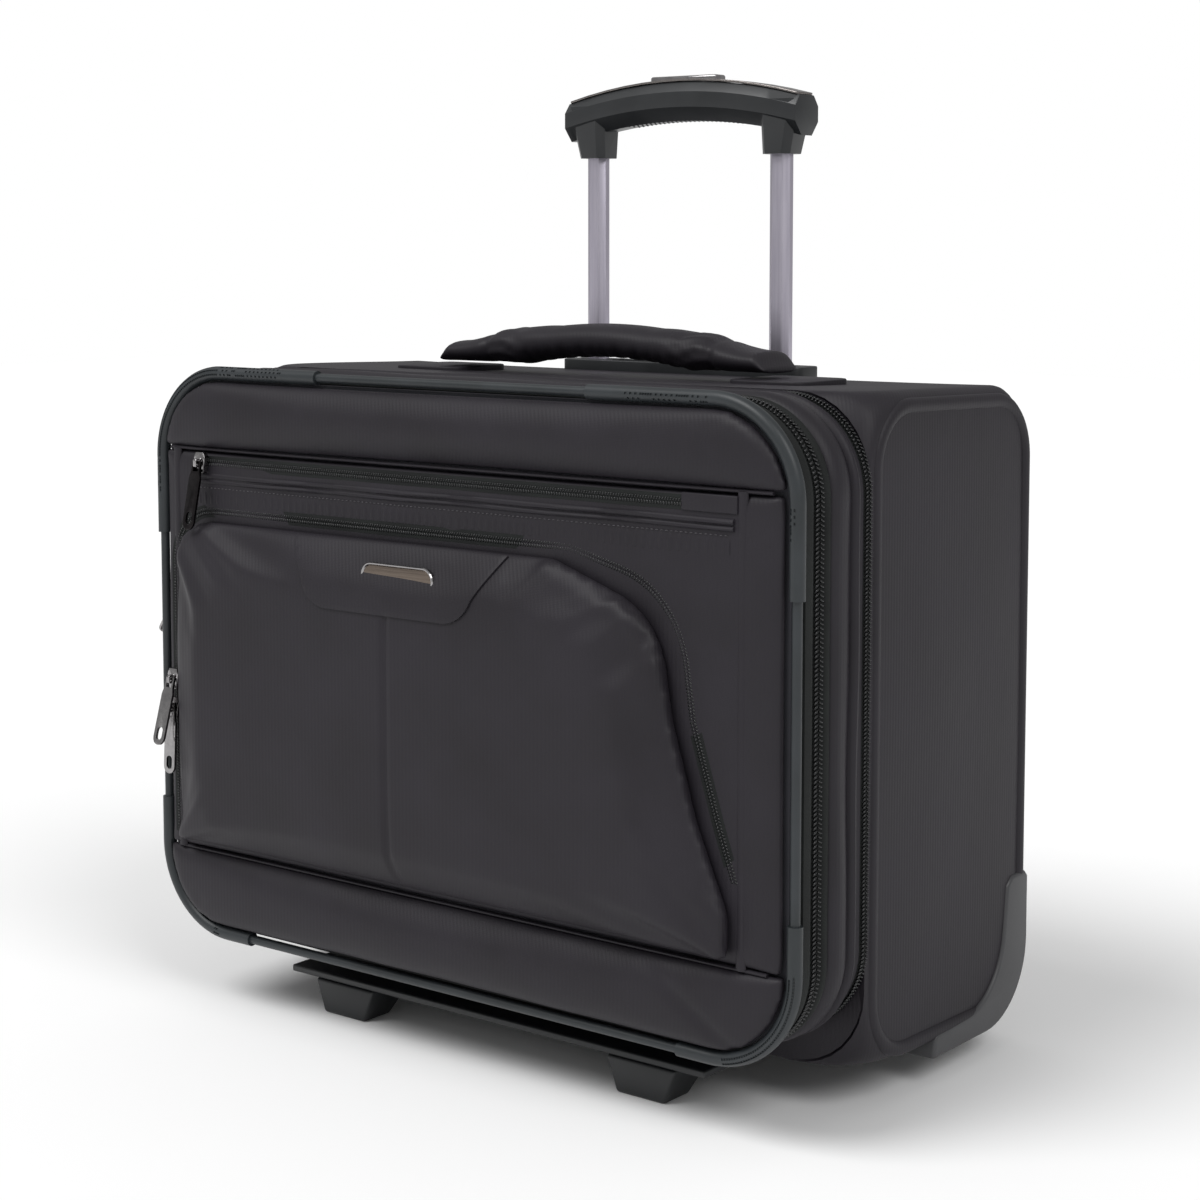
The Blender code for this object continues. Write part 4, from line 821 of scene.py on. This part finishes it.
def front_trim():
    """Folds, gathered strip, seam bindings and stitching between the pockets."""
    face = PANEL_LOW.y
    for index, (z, radius) in enumerate(((0.3152, 1.9 * MM), (0.3118, 1.6 * MM))):
        points = paced([(-0.1925, face, z), (0.1905, face, z)], 6 * MM)
        frames = frames_on(points, (0, 1, 0))
        fold = loft(frames, ring(radius, 2.4 * MM, 12),
                    shape=lambda a, b, t, s: (a, b + 0.3 * MM * math.sin(t * 23 + a * 900)))
        piece(f"zip_fold_{index + 1}", fold, "fabric", HINGE_BODY)
    strip_frames = frames_on(paced([(-0.190, face, 0.3035), (0.188, face, 0.3035)], 1.1 * MM), (0, 1, 0))
    profile = [(-6.4 * MM, 0.6 * MM), (-4.0 * MM, -0.9 * MM), (0.0, -1.3 * MM), (4.2 * MM, -1.2 * MM),
               (6.0 * MM, -0.4 * MM), (6.6 * MM, 0.6 * MM)]
    width = 0.378

    def gathered(a, b, t, s):
        gather = math.sin(t * width / (5.2 * MM) * math.tau + 1.5 * math.sin(t * 31))
        return a, b + (0.42 * MM * gather * ease(abs(s - 0.45), 0.5, 0.1) if b < 0 else 0.0)

    piece("gathered_strip", loft(strip_frames, profile, shape=gathered), "fabric", HINGE_BODY, smooth=180)
    thread_frames = frames_on(paced([(-0.188, face - 1.5 * MM, 0.3083), (0.186, face - 1.5 * MM, 0.3083)], 3.0 * MM),
                              (0, 1, 0))
    turned = [(here, Vector((0, -1, 0)), out) for here, out, _ in thread_frames]
    piece("gather_stitches", stitches(turned), "thread", HINGE_BODY, smooth=180)
    for name, x in (("left", PANEL_LOW.x + 13.2 * MM), ("right", 0.1950)):
        points = paced([(x, face, LOWER_SEAM), (x, face, TOP_SEAM)], 8 * MM)
        binding = loft(frames_on(points, (0, 1, 0)), ring(3.0 * MM, 1.6 * MM, 12))
        piece(f"side_binding_{name}", binding, "fabric", HINGE_BODY)
    tab = block((UPPER_ZIP_HIGH.x - 1 * MM, face - 1.9 * MM, UPPER_ZIP_LOW.z - 0.5 * MM),
                (0.1925, face + 0.5 * MM, UPPER_ZIP_HIGH.z + 1.5 * MM), 0.7 * MM)
    piece("zip_garage", tab, "fabric", HINGE_BODY)
    for name, z in (("top", TOP_SEAM), ("lower", LOWER_SEAM)):
        reach = 0.212 if name == "top" else 0.210
        points = paced([(-reach, PAD_FACE + 2.2 * MM, z), (reach, PAD_FACE + 2.2 * MM, z)], 8 * MM)
        seam = loft(frames_on(points, (0, 1, 0)), ring(1.0 * MM, 1.6 * MM, 10))
        piece(f"{name}_seam_tuck", seam, "fabric", HINGE_BODY)


# ---------------------------------------------------------------- zips round the case, gusset, organiser
def band_frames(pitch, inset=0.0):
    outline = rounded(BAND_LOW.x + inset, BAND_HIGH.x - inset, BAND_LOW.z + inset, BAND_HIGH.z - inset,
                      BAND_CORNER - inset)
    return frames_on(paced(in_front(outline, 0), pitch, True), (0, 1, 0), True)


def zip_half(node_name, finish_rows, tooth, row_y, lean, shift, body, profile):
    """Half of a zip round the case: its tape band, and its row of the coil."""
    piece(f"{node_name}_tape", loft(band_frames(5 * MM), profile, True), "tape", body, (node_name,), 50)
    frames = band_frames(finish_rows)
    row = chain(frames, shift, tooth, lean, 0.25 * MM, row_y, True)
    piece(f"{node_name}_coil", row, "coil", body, smooth=180)


def case_zips():
    for name, bodies, coil_half, pitch in (("front_zip", ("front_flap", "organiser"), 2.3 * MM, 2.3 * MM),
                                           ("main_zip", ("organiser", "case"), 1.75 * MM, 2.1 * MM)):
        front, rear = f"{name}_front_half", f"{name}_rear_half"
        middle = (place_of(front)[1].y + place_of(rear)[0].y) / 2
        tooth = bead(2 * coil_half * 1.02, pitch * 0.60, 2.0 * MM)
        for half, body, way in ((front, bodies[0], -1), (rear, bodies[1], 1)):
            low, high = place_of(half)
            edge = middle - way * -0.15 * MM
            far = low.y if way < 0 else high.y
            tucks = [(edge, -0.9 * MM), (middle + way * coil_half * 2.1, -0.9 * MM)]
            if abs(far - middle) > 6 * MM:
                tucks += [(middle + way * (coil_half * 2.1 + 1.0 * MM), 0.4 * MM),
                          (middle + way * (coil_half * 2.1 + 3.0 * MM), 0.9 * MM), (far, 0.3 * MM)]
            else:
                tucks += [(far, -0.6 * MM)]
            profile = [(out, y) for y, out in tucks] + [(-3.0 * MM, far), (-3.0 * MM, edge)]
            zip_half(half, pitch, tooth, middle + way * coil_half * 1.0, -way * math.radians(26),
                     0.0 if way < 0 else pitch / 2, body, profile)


def organiser():
    """The gusset round the organiser with its raised fold, its back wall, and the laptop sleeve."""
    front, back = TRAY_LOW.y, TRAY_HIGH.y
    outer = [(front, -1.0 * MM), (front + 1.2 * MM, 1.2 * MM), (front + 6 * MM, 2.6 * MM), (front + 12 * MM, 2.2 * MM),
             (front + 17 * MM, 0.2 * MM), (front + 18.2 * MM, -0.8 * MM), (front + 19.0 * MM, 1.6 * MM),
             (front + 20.8 * MM, 3.0 * MM), (front + 22.8 * MM, 2.4 * MM), (front + 23.8 * MM, -0.4 * MM),
             (front + 25.0 * MM, -0.8 * MM), (back, -0.6 * MM)]
    profile = [(out, y) for y, out in outer] + [(-2.6 * MM, back), (-2.6 * MM, front)]

    def slack(a, b, t, s):
        if a <= -2.5 * MM:
            return a, b
        sway = math.sin(t * math.tau * 5 + b * 160) + 0.6 * math.sin(t * math.tau * 13 + 1.7)
        return a + 0.45 * MM * sway * hill(b, front, back, 4), b

    piece("organiser_gusset", loft(band_frames(5 * MM), profile, True, shape=slack), "fabric", "organiser",
          ("organiser_tray",), 60)
    wall = rounded(BAND_LOW.x + 2.4 * MM, BAND_HIGH.x - 2.4 * MM, BAND_LOW.z + 2.4 * MM, BAND_HIGH.z - 2.4 * MM,
                   BAND_CORNER - 2.4 * MM, 12)
    piece("organiser_back_wall", slab(wall, "y", back - 2.2 * MM, back, 0.5 * MM), "lining", "organiser")
    mesh = padded_skin("laptop_sleeve", 4.5 * MM, 2.0, 2 * MM, lambda co: co.y > TRAY_HIGH.y - 5 * MM)
    piece("laptop_sleeve_padded", mesh, "lining", "organiser", ("laptop_sleeve",), 180)
    low, high = place_of("laptop_sleeve")
    rim = paced([(low.x + 0.016, low.y, high.z), (high.x - 0.016, low.y, high.z)], 8 * MM)
    piece("sleeve_binding", loft(frames_on(rim, (0, 1, 0)), ring(2.2 * MM, 1.6 * MM, 10)), "tape", "organiser")
    strap = paced([(0, high.y, high.z + 0.030), (0, high.y - 1 * MM, high.z + 0.012),
                   (0, low.y - 1.6 * MM, high.z + 1 * MM),
                   (0, low.y - 2.2 * MM, high.z - 0.012), (0, low.y - 1.8 * MM, high.z - 0.058)], 5 * MM)
    strap_profile = [(-0.8 * MM, -0.015), (0.8 * MM, -0.015), (0.8 * MM, 0.015), (-0.8 * MM, 0.015)]
    piece("sleeve_strap", loft(frames_on(strap, (1, 0, 0)), strap_profile), "tape", "organiser")


def flap_board():
    """The flap's inner side: a lined board."""
    outline = rounded(BOARD_LOW.x, BOARD_HIGH.x, BOARD_LOW.z, BOARD_HIGH.z, CORNER - 6.9 * MM, 12)
    piece("flap_board_lined", slab(outline, "y", BOARD_LOW.y, BOARD_HIGH.y, 0.6 * MM), "lining", "front_flap",
          ("flap_board",))


# ---------------------------------------------------------------- rear body
SIDE_RADIUS = 0.010  # over the side seams
PANEL_CORNER = 0.034  # of the side panel, seen from the side
BACK_SIDE_EDGE = 0.012


def quarter(distance, radius):
    """How far a round edge has fallen, at a distance before its end."""
    reach = min(max(radius - distance, 0.0), radius)
    return radius - math.sqrt(max(radius ** 2 - reach ** 2, 0.0))


def body_station(y):
    """The rear body's outline at one depth: half width, low, high and corner radius."""
    from_front, from_back = y - SHELL_LOW.y, SHELL_HIGH.y - y
    half = SHELL_HIGH.x - quarter(from_back, BACK_SIDE_EDGE)
    fall = quarter(from_back, PANEL_CORNER - 4 * MM)
    sag = 3.0 * MM * ease(from_front, 0.02, SHELL_HIGH.y - SHELL_LOW.y)
    radius = SIDE_RADIUS + quarter(from_front, PANEL_CORNER)
    return half, SHELL_LOW.z + fall, SHELL_HIGH.z - fall - sag, radius + min(fall, 6 * MM)


def body_bulge(x, y, z):
    """Outward swelling of the body's panels at a point, as a vector."""
    deep = hill(y, SHELL_LOW.y, SHELL_HIGH.y, 2.5)
    tall = hill(z, SHELL_LOW.z + 0.02, SHELL_HIGH.z, 3)
    wide = hill(x, SHELL_LOW.x, SHELL_HIGH.x, 4)
    uneven = 1 + 0.5 * noise.noise(Vector((x * 9, y * 14, z * 11)))
    side = 2.4 * MM * deep * tall * ease(abs(x), 0.19, 0.215) * uneven
    top = -1.6 * MM * deep * wide * ease(z, 0.33, 0.36)
    back = 1.2 * MM * tall * wide * ease(y, SHELL_HIGH.y - 4 * MM, SHELL_HIGH.y) * uneven
    return Vector((math.copysign(side, x), back, top))


def outer_body():
    """The rear body's outer skin, open at the front, as an open bmesh."""
    depth = SHELL_HIGH.y - SHELL_LOW.y
    stations = [SHELL_LOW.y + depth * share for share in (0.0, 0.02, 0.05, 0.09, 0.13, 0.17, 0.21)]
    stations += [SHELL_LOW.y + 0.036 + (depth - 0.036 - 0.034) * i / 12 for i in range(1, 13)]
    stations += [SHELL_HIGH.y - 0.034 * math.cos(math.radians(a)) for a in (10, 22, 34, 46, 56, 66, 74, 81, 86, 90)]
    corner_steps = 8
    rings = []
    for y in stations:
        half, low, high, radius = body_station(y)
        outline = rounded(-half, half, low, high, radius, corner_steps)
        dense = []
        for here, after in zip(outline, outline[1:] + outline[:1]):
            dense.append(here)
            if math.dist(here, after) > 0.10:
                dense += [tuple(Vector(here).lerp(Vector(after), k / 16)) for k in range(1, 16)]
        rings.append([Vector((x, y, z)) for x, z in dense])
    middle = Vector((0, SHELL_HIGH.y, (SHELL_LOW.z + SHELL_HIGH.z) / 2))
    rings += [[middle.lerp(place, share) for place in rings[-1]] for share in (0.86, 0.70, 0.52, 0.34, 0.18, 0.06)]
    count, along = len(rings[0]), len(rings) - 1
    bm = bmesh.new()
    bmesh.ops.create_grid(bm, x_segments=count, y_segments=along, size=0.5)
    for vert in bm.verts:
        i, j = round((vert.co.x + 0.5) * count), round((vert.co.y + 0.5) * along)
        vert.co = rings[j][i % count]
    bmesh.ops.remove_doubles(bm, verts=bm.verts, dist=1e-6)
    rim = [e for e in bm.edges if e.is_boundary and all(v.co.y > SHELL_HIGH.y - 1e-5 for v in e.verts)]
    bmesh.ops.contextual_create(bm, geom=rim)
    bmesh.ops.recalc_face_normals(bm, faces=bm.faces)
    for vert in bm.verts:
        vert.co += body_bulge(*vert.co)
    return bm


def wheel_box(side, grow):
    """The space of a wheel's housing, open at the bottom and back."""
    low, high = place_of(f"tyre_{side}")
    around, beside = 6.0 * MM + grow, 5.2 * MM + grow
    return block((low.x - beside, low.y - around, low.z - 0.02), (high.x + beside, high.y + 0.03, high.z + around))


def front_lip():
    """The cloth between the rear body's front edge and the zip round its mouth."""
    half, low, high, radius = body_station(SHELL_LOW.y)
    inside = 2 * MM
    outer = rounded(-half + MM, half - MM, low + MM, high - MM, radius, 8)
    inner = rounded(BAND_LOW.x + inside, BAND_HIGH.x - inside, BAND_LOW.z + inside, BAND_HIGH.z - inside,
                    BAND_CORNER - inside, 8)
    bm = bmesh.new()
    edges = []
    for outline in (outer, inner):
        verts = [bm.verts.new((x, SHELL_LOW.y + 0.2 * MM, z)) for x, z in outline]
        edges += [bm.edges.new((a, b)) for a, b in zip(verts, verts[1:] + verts[:1])]
    bmesh.ops.bridge_loops(bm, edges=edges)
    bmesh.ops.recalc_face_normals(bm, faces=bm.faces)
    mesh = applied(mesh_from(bm), ("SOLIDIFY", {"thickness": 2.8 * MM, "offset": -1.0}))
    low_y = min(vert.co.y for vert in mesh.vertices)
    if low_y < SHELL_LOW.y:
        for vert in mesh.vertices:
            vert.co.y += SHELL_LOW.y + 0.2 * MM - low_y
    piece("front_lip", mesh, "fabric", "case", (), 45)


def rear_body():
    skin = outer_body()
    closed = skin.copy()
    bmesh.ops.holes_fill(closed, edges=closed.edges, sides=0)
    bmesh.ops.recalc_face_normals(closed, faces=closed.faces)
    solid = mesh_from(closed)
    mesh = applied(mesh_from(skin), ("SOLIDIFY", {"thickness": 3.5 * MM, "offset": -1.0, "material_offset": 1}))
    tray_low, tray_high = place_of("handle_tray")
    grow = Vector((0.3 * MM, 0.3 * MM, 0.02))
    mesh = cut(mesh, mesh_from(wheel_box("left", 0.0)), mesh_from(wheel_box("right", 0.0)),
               mesh_from(block(tray_low - grow, tray_high + grow)))
    piece("rear_body", mesh, "fabric", "case", ("rear_shell",), 45, other_finishes=("lining",))
    front_lip()
    return solid


def side_welts():
    """The piped seam round each side panel."""
    low_y, high_y = SHELL_LOW.y + 8 * MM, SHELL_HIGH.y - 5 * MM
    low_z, high_z = SHELL_LOW.z + 6 * MM, SHELL_HIGH.z - 8 * MM
    outline = rounded(low_y, high_y, low_z, high_z, PANEL_CORNER - 2 * MM)
    for name, side in (("left", -1), ("right", 1)):
        points = paced([(side * (SHELL_HIGH.x - 1.2 * MM), y, z - 3 * MM * ease(y, SHELL_LOW.y, SHELL_HIGH.y))
                        for y, z in outline], 4 * MM, True)
        frames = frames_on(points, (1, 0, 0), True)
        piece(f"side_welt_{name}", loft(frames, ring(4.2 * MM, 3.0 * MM, 14), True), "fabric", "case", smooth=60)


def wheel_guards(solid):
    """The grey L-shaped guards, with the wheels' housings."""
    for name, side in (("left", -1), ("right", 1)):
        low, high = place_of(f"wheel_guard_{name}")
        corner = 0.045
        back, bottom, top, front = high.y, low.z, high.z, low.y
        outline = [(front, bottom)]
        outline += arc((back - corner, bottom + corner), corner, -90, 0, 14)
        outline += [(back, top - 3 * MM), (back - 3 * MM, top), (back - 0.018, top), (back - 0.024, top - 5 * MM)]
        bend = 0.042
        outline += list(reversed(arc((back - 0.0265 - bend, SHELL_LOW.z + 5 * MM + bend), bend, -84, -6, 12)))
        outline += [(front + 3 * MM, SHELL_LOW.z + 4 * MM)]
        outer = high.x if side > 0 else low.x
        inner = side * 0.165
        plate = mesh_from(slab(outline, "x", inner, outer, 2.2 * MM))
        plate = cut(plate, solid)
        tyre_low, tyre_high = place_of(f"tyre_{name}")
        housing = mesh_from(block((tyre_low.x - 5.0 * MM, tyre_low.y - 5.5 * MM, bottom + 2 * MM),
                                  (tyre_high.x + 5.0 * MM, back - 0.4 * MM, tyre_high.z + 5.5 * MM)))
        plate = cut(plate, housing, operation="UNION")
        well = mesh_from(block((tyre_low.x - 3.0 * MM, tyre_low.y - 3.0 * MM, -0.01),
                               (tyre_high.x + 3.0 * MM, back + 0.02, tyre_high.z + 3.0 * MM)))
        piece(f"wheel_guard_{name}_moulded", cut(plate, well), "plastic", "case", (f"wheel_guard_{name}",), 35)


def handle_patches():
    """Flat stitched patches on the top, where the carry handle's ends are sewn."""
    middle_y = (place_of("carry_handle")[0].y + place_of("carry_handle")[1].y) / 2
    for name, side in (("left", -1), ("right", 1)):
        x = side * 0.123
        outline = rounded(x - 0.025, x + 0.025, middle_y - 0.026, middle_y + 0.026, 9 * MM, 6)
        patch = slab(outline, "z", SHELL_HIGH.z - 4.0 * MM, SHELL_HIGH.z + 0.4 * MM, 0.8 * MM)
        piece(f"handle_patch_{name}", patch, "fabric", "case")


def carry_handle():
    """A padded roll in gathered cloth that lifts in the middle, with a flat stitched patch at each end."""
    low, high = place_of("carry_handle")
    half, middle_y = high.x, (low.y + high.y) / 2
    width = (high.y - low.y) / 2
    base = low.z
    steps, sides = 96, 28

    def half_height(u):
        return (9.6 + 0.9 * hill(u, 0.30, 0.74) - 3.4 * ease(u, 0.55, 0.92) - 4.6 * ease(u, 0.93, 1.0)) * MM

    frames = []
    for i in range(steps + 1):
        u = abs(2 * i / steps - 1)
        lift = 5.5 * MM * max(0.0, 1 - (u / 0.5) ** 2)
        centre = Vector((half * (2 * i / steps - 1), middle_y, base + half_height(u) + lift))
        frames.append((centre, Vector((0, 0, 1)), Vector((0, 1, 0))))

    def cloth(a, b, t, s):
        u = abs(2 * t - 1)
        angle = s * math.tau
        tall = half_height(u) / (10 * MM)
        gathers = 0.7 * MM * math.sin(angle * 9 + 2.2 * math.sin(t * 40)) * hill(u, 0.42, 0.70)
        under = ease(-a, 0.0, 8 * MM) * (1 - ease(u, 0.45, 0.6))
        pucker = 0.6 * MM * under * math.sin(t * 150 + 1.5 * math.sin(t * 37))
        seam = groove(abs(u - 0.68) * half, 2.5 * MM, 1.3 * MM)
        grow = 1 + (gathers + pucker - abs(seam)) / (10 * MM)
        return a * tall * grow, b * (0.97 - 0.10 * ease(u, 0.93, 1.0)) * min(grow, 1.0)

    section = [(10 * MM * math.copysign(abs(math.sin(v)) ** 0.85, math.sin(v)),
                width * math.copysign(abs(math.cos(v)) ** 0.85, math.cos(v)))
               for v in (math.tau * i / sides for i in range(sides))]
    mesh = applied(mesh_from(loft(frames, section, shape=cloth)), ("SUBSURF", {"levels": 1, "render_levels": 1}))
    piece("carry_handle_padded", mesh, "fabric", "carry_handle", ("carry_handle",), 180)


def grip():
    """The faceted grip: an arched bar with a tapered socket at each end."""
    low, high = place_of("grip")
    middle_y = (low.y + high.y) / 2
    depth = (high.y - low.y) / 2
    shoulder = 0.0845
    drop = 10.5 * MM
    bar = 23 * MM
    xs = [shoulder * (2 * i / 40 - 1) for i in range(41)]
    frames = [(Vector((x, middle_y, high.z - drop * (x / shoulder) ** 2)), Vector((0, 0, 1)), Vector((0, 1, 0)))
              for x in xs]
    top_half = depth * 0.62
    section = [(0.0, top_half), (-6.0 * MM, depth), (-15.0 * MM, depth), (-bar, depth * 0.45),
               (-bar, -depth * 0.45), (-15.0 * MM, -depth), (-6.0 * MM, -depth), (0.0, -top_half)]
    arch = loft(frames, section)
    mesh = mesh_from(arch)
    tube_x = (place_of("top_tube_right")[0].x + place_of("top_tube_right")[1].x) / 2
    for side in (-1, 1):
        bm = bmesh.new()
        bmesh.ops.create_cube(bm, size=1.0)
        for vert in bm.verts:
            upper = vert.co.z > 0
            half_x, half_y = (13.2 * MM, depth) if upper else (9.6 * MM, depth * 0.80)
            z = high.z - drop - 2.0 * MM if upper else low.z
            shift = side * (3.2 * MM if upper else 0.0)
            vert.co = Vector((side * tube_x + shift + math.copysign(half_x, vert.co.x),
                              middle_y + math.copysign(half_y, vert.co.y), z))
        upright = [e for e in bm.edges if abs(e.verts[0].co.z - e.verts[1].co.z) > 5 * MM]
        bmesh.ops.bevel(bm, geom=upright, offset=4.0 * MM, segments=1, profile=0.5, affect="EDGES", material=-1)
        bmesh.ops.recalc_face_normals(bm, faces=bm.faces)
        mesh = cut(mesh, mesh_from(bm), operation="UNION")
    button_low, button_high = place_of("release_button")
    room = Vector((0.4 * MM, 0.4 * MM, 0.0))
    recess = block(button_low - room - Vector((0, 0, 4.5 * MM)), button_high + room)
    mesh = cut(mesh, mesh_from(recess))
    mesh = applied(mesh, ("BEVEL", {"width": 0.9 * MM, "segments": 3, "limit_method": "ANGLE",
                                    "angle_limit": math.radians(20), "use_clamp_overlap": True}))
    piece("grip_moulded", mesh, "grip plastic", "top_stage", ("grip",), 40)
    # raised beads for the dimples on the grip's underside, in the darker plastic as painted shade of the hollows
    dots = []
    for row, across in ((0, -0.30), (1, -0.15), (0, 0.0), (1, 0.15), (0, 0.30)):
        for i in range(26):
            x = (i - 12.5 + row * 0.5) * 3.2 * MM
            z = high.z - bar - drop * (x / shoulder) ** 2
            dots.append(Matrix.Translation((x, middle_y + across * 2 * depth * 0.7, z)))
    piece("grip_dimples_painted_shade", row_of(bead(1.5 * MM, 1.5 * MM, 0.7 * MM), dots), "dark plastic", "top_stage", smooth=180)


def telescopic_handle():
    for side in ("left", "right"):
        refined(f"top_tube_{side}", "anodised", 0.5 * MM, 2)
        refined(f"middle_tube_{side}", "anodised", 0.5 * MM, 2)
        refined(f"outer_tube_{side}", "mill", 0.5 * MM, 2)
        refined(f"release_rod_{side}", "steel", 0.2 * MM, 1)
        bezel(side)
    grip()
    refined("grip_cover", "gunmetal", 0.5 * MM, 3)
    refined("release_button", "nickel", 0.4 * MM, 2)
    refined("tube_bracket", "dark plastic", 0.8 * MM)
    refined("handle_tray", "dark plastic", 0.8 * MM)


def bezel(side):
    """The low collar round a tube, where it comes out of the tray; the lowered grip stops just above it."""
    low, high = place_of(f"middle_tube_{side}")
    tray_top = place_of("handle_tray")[1].z
    grow = 0.8 * MM
    outline = rounded(low.x - grow, high.x + grow, low.y - grow, high.y + grow, 1.6 * MM, 6)
    frames = frames_on(paced([(x, y, tray_top) for x, y in outline], 0.7 * MM, True), (0, 0, 1), True)
    profile = [(0.0, -0.5 * MM), (0.0, 0.2 * MM), (0.3 * MM, 0.3 * MM), (2.6 * MM, 0.3 * MM), (3.0 * MM, 0.1 * MM),
               (3.2 * MM, -0.5 * MM)]
    piece(f"tube_bezel_{side}", loft(frames, profile, True), "dark plastic", "case", smooth=50)


# ---------------------------------------------------------------- sliders, wheels, base
def sliders():
    for name in ("upper_pocket", "lower_pocket_a", "lower_pocket_b", "front_zip_a", "front_zip_b", "main_zip_a",
                 "main_zip_b"):
        refined(f"slider_{name}", "nickel", 0.5 * MM, 3)
        refined(f"puller_{name}", "black nickel" if name == "upper_pocket" else "nickel", 0.35 * MM, 3)


def running_gear():
    for side in ("left", "right"):
        refined(f"tyre_{side}", "tyre", 0.6 * MM, 2, round_from=35)
        refined(f"wheel_hub_{side}", "dark plastic", 0.5 * MM, 2, round_from=35)
        refined(f"axle_{side}", "steel", 0.3 * MM, 2, round_from=50)
        refined(f"front_foot_{side}", "dark plastic", 1.2 * MM, 3)
    refined("base_platform", "dark plastic", 0.6 * MM)
    refined("rear_lining_panel", "lining", 0.8 * MM)


# ---------------------------------------------------------------- camera, lights, floor
def studio():
    camera_data = bpy.data.cameras.new("camera")
    camera = bpy.data.objects.new("camera", camera_data)
    bpy.context.scene.collection.objects.link(camera)
    camera.location = Vector((0.854, -0.9587, 0.4529)) + OFFSET
    camera.rotation_euler = (math.radians(90 - 5.2), 0, math.radians(38.06))
    camera_data.lens = 72.4
    camera_data.sensor_width = 36
    camera_data.shift_y = -0.12
    bpy.context.scene.camera = camera

    bm = bmesh.new()
    bmesh.ops.create_grid(bm, x_segments=1, y_segments=1, size=6.0)
    floor = bpy.data.objects.new("floor", mesh_from(bm))
    bpy.context.scene.collection.objects.link(floor)
    paper, _, _ = blank("matt white paper", "#fbfbfb", 0.9)
    floor.data.materials.append(paper)

    world = bpy.data.worlds.new("studio")
    world.use_nodes = True
    sky = world.node_tree.nodes["Background"]
    sky.inputs["Color"].default_value = (1, 1, 1, 1)
    seen = node(world.node_tree, "LightPath").outputs["Is Camera Ray"]
    world.node_tree.links.new(ranged(world.node_tree, seen, 0.42, 1.0), sky.inputs["Strength"])
    bpy.context.scene.world = world
    bpy.context.scene.view_settings.view_transform = "Standard"
    for name, place, power in (("key", (-0.7, -1.5, 2.2), 1.8), ("fill", (2.0, -0.7, 1.9), 1.1)):
        light_data = bpy.data.lights.new(name, "SUN")
        light_data.angle = math.radians(30)
        light_data.energy = power
        light = bpy.data.objects.new(name, light_data)
        bpy.context.scene.collection.objects.link(light)
        light.rotation_euler = Vector(place).to_track_quat("Z", "Y").to_euler()


studio()
top_band()
upper_panel()
pocket = lower_pocket()
bottom_band()
badge(pocket)
edge_piping()
pocket_zips()
front_trim()
case_zips()
organiser()
flap_board()
body_solid = rear_body()
side_welts()
wheel_guards(body_solid)
handle_patches()
carry_handle()
telescopic_handle()
sliders()
running_gear()
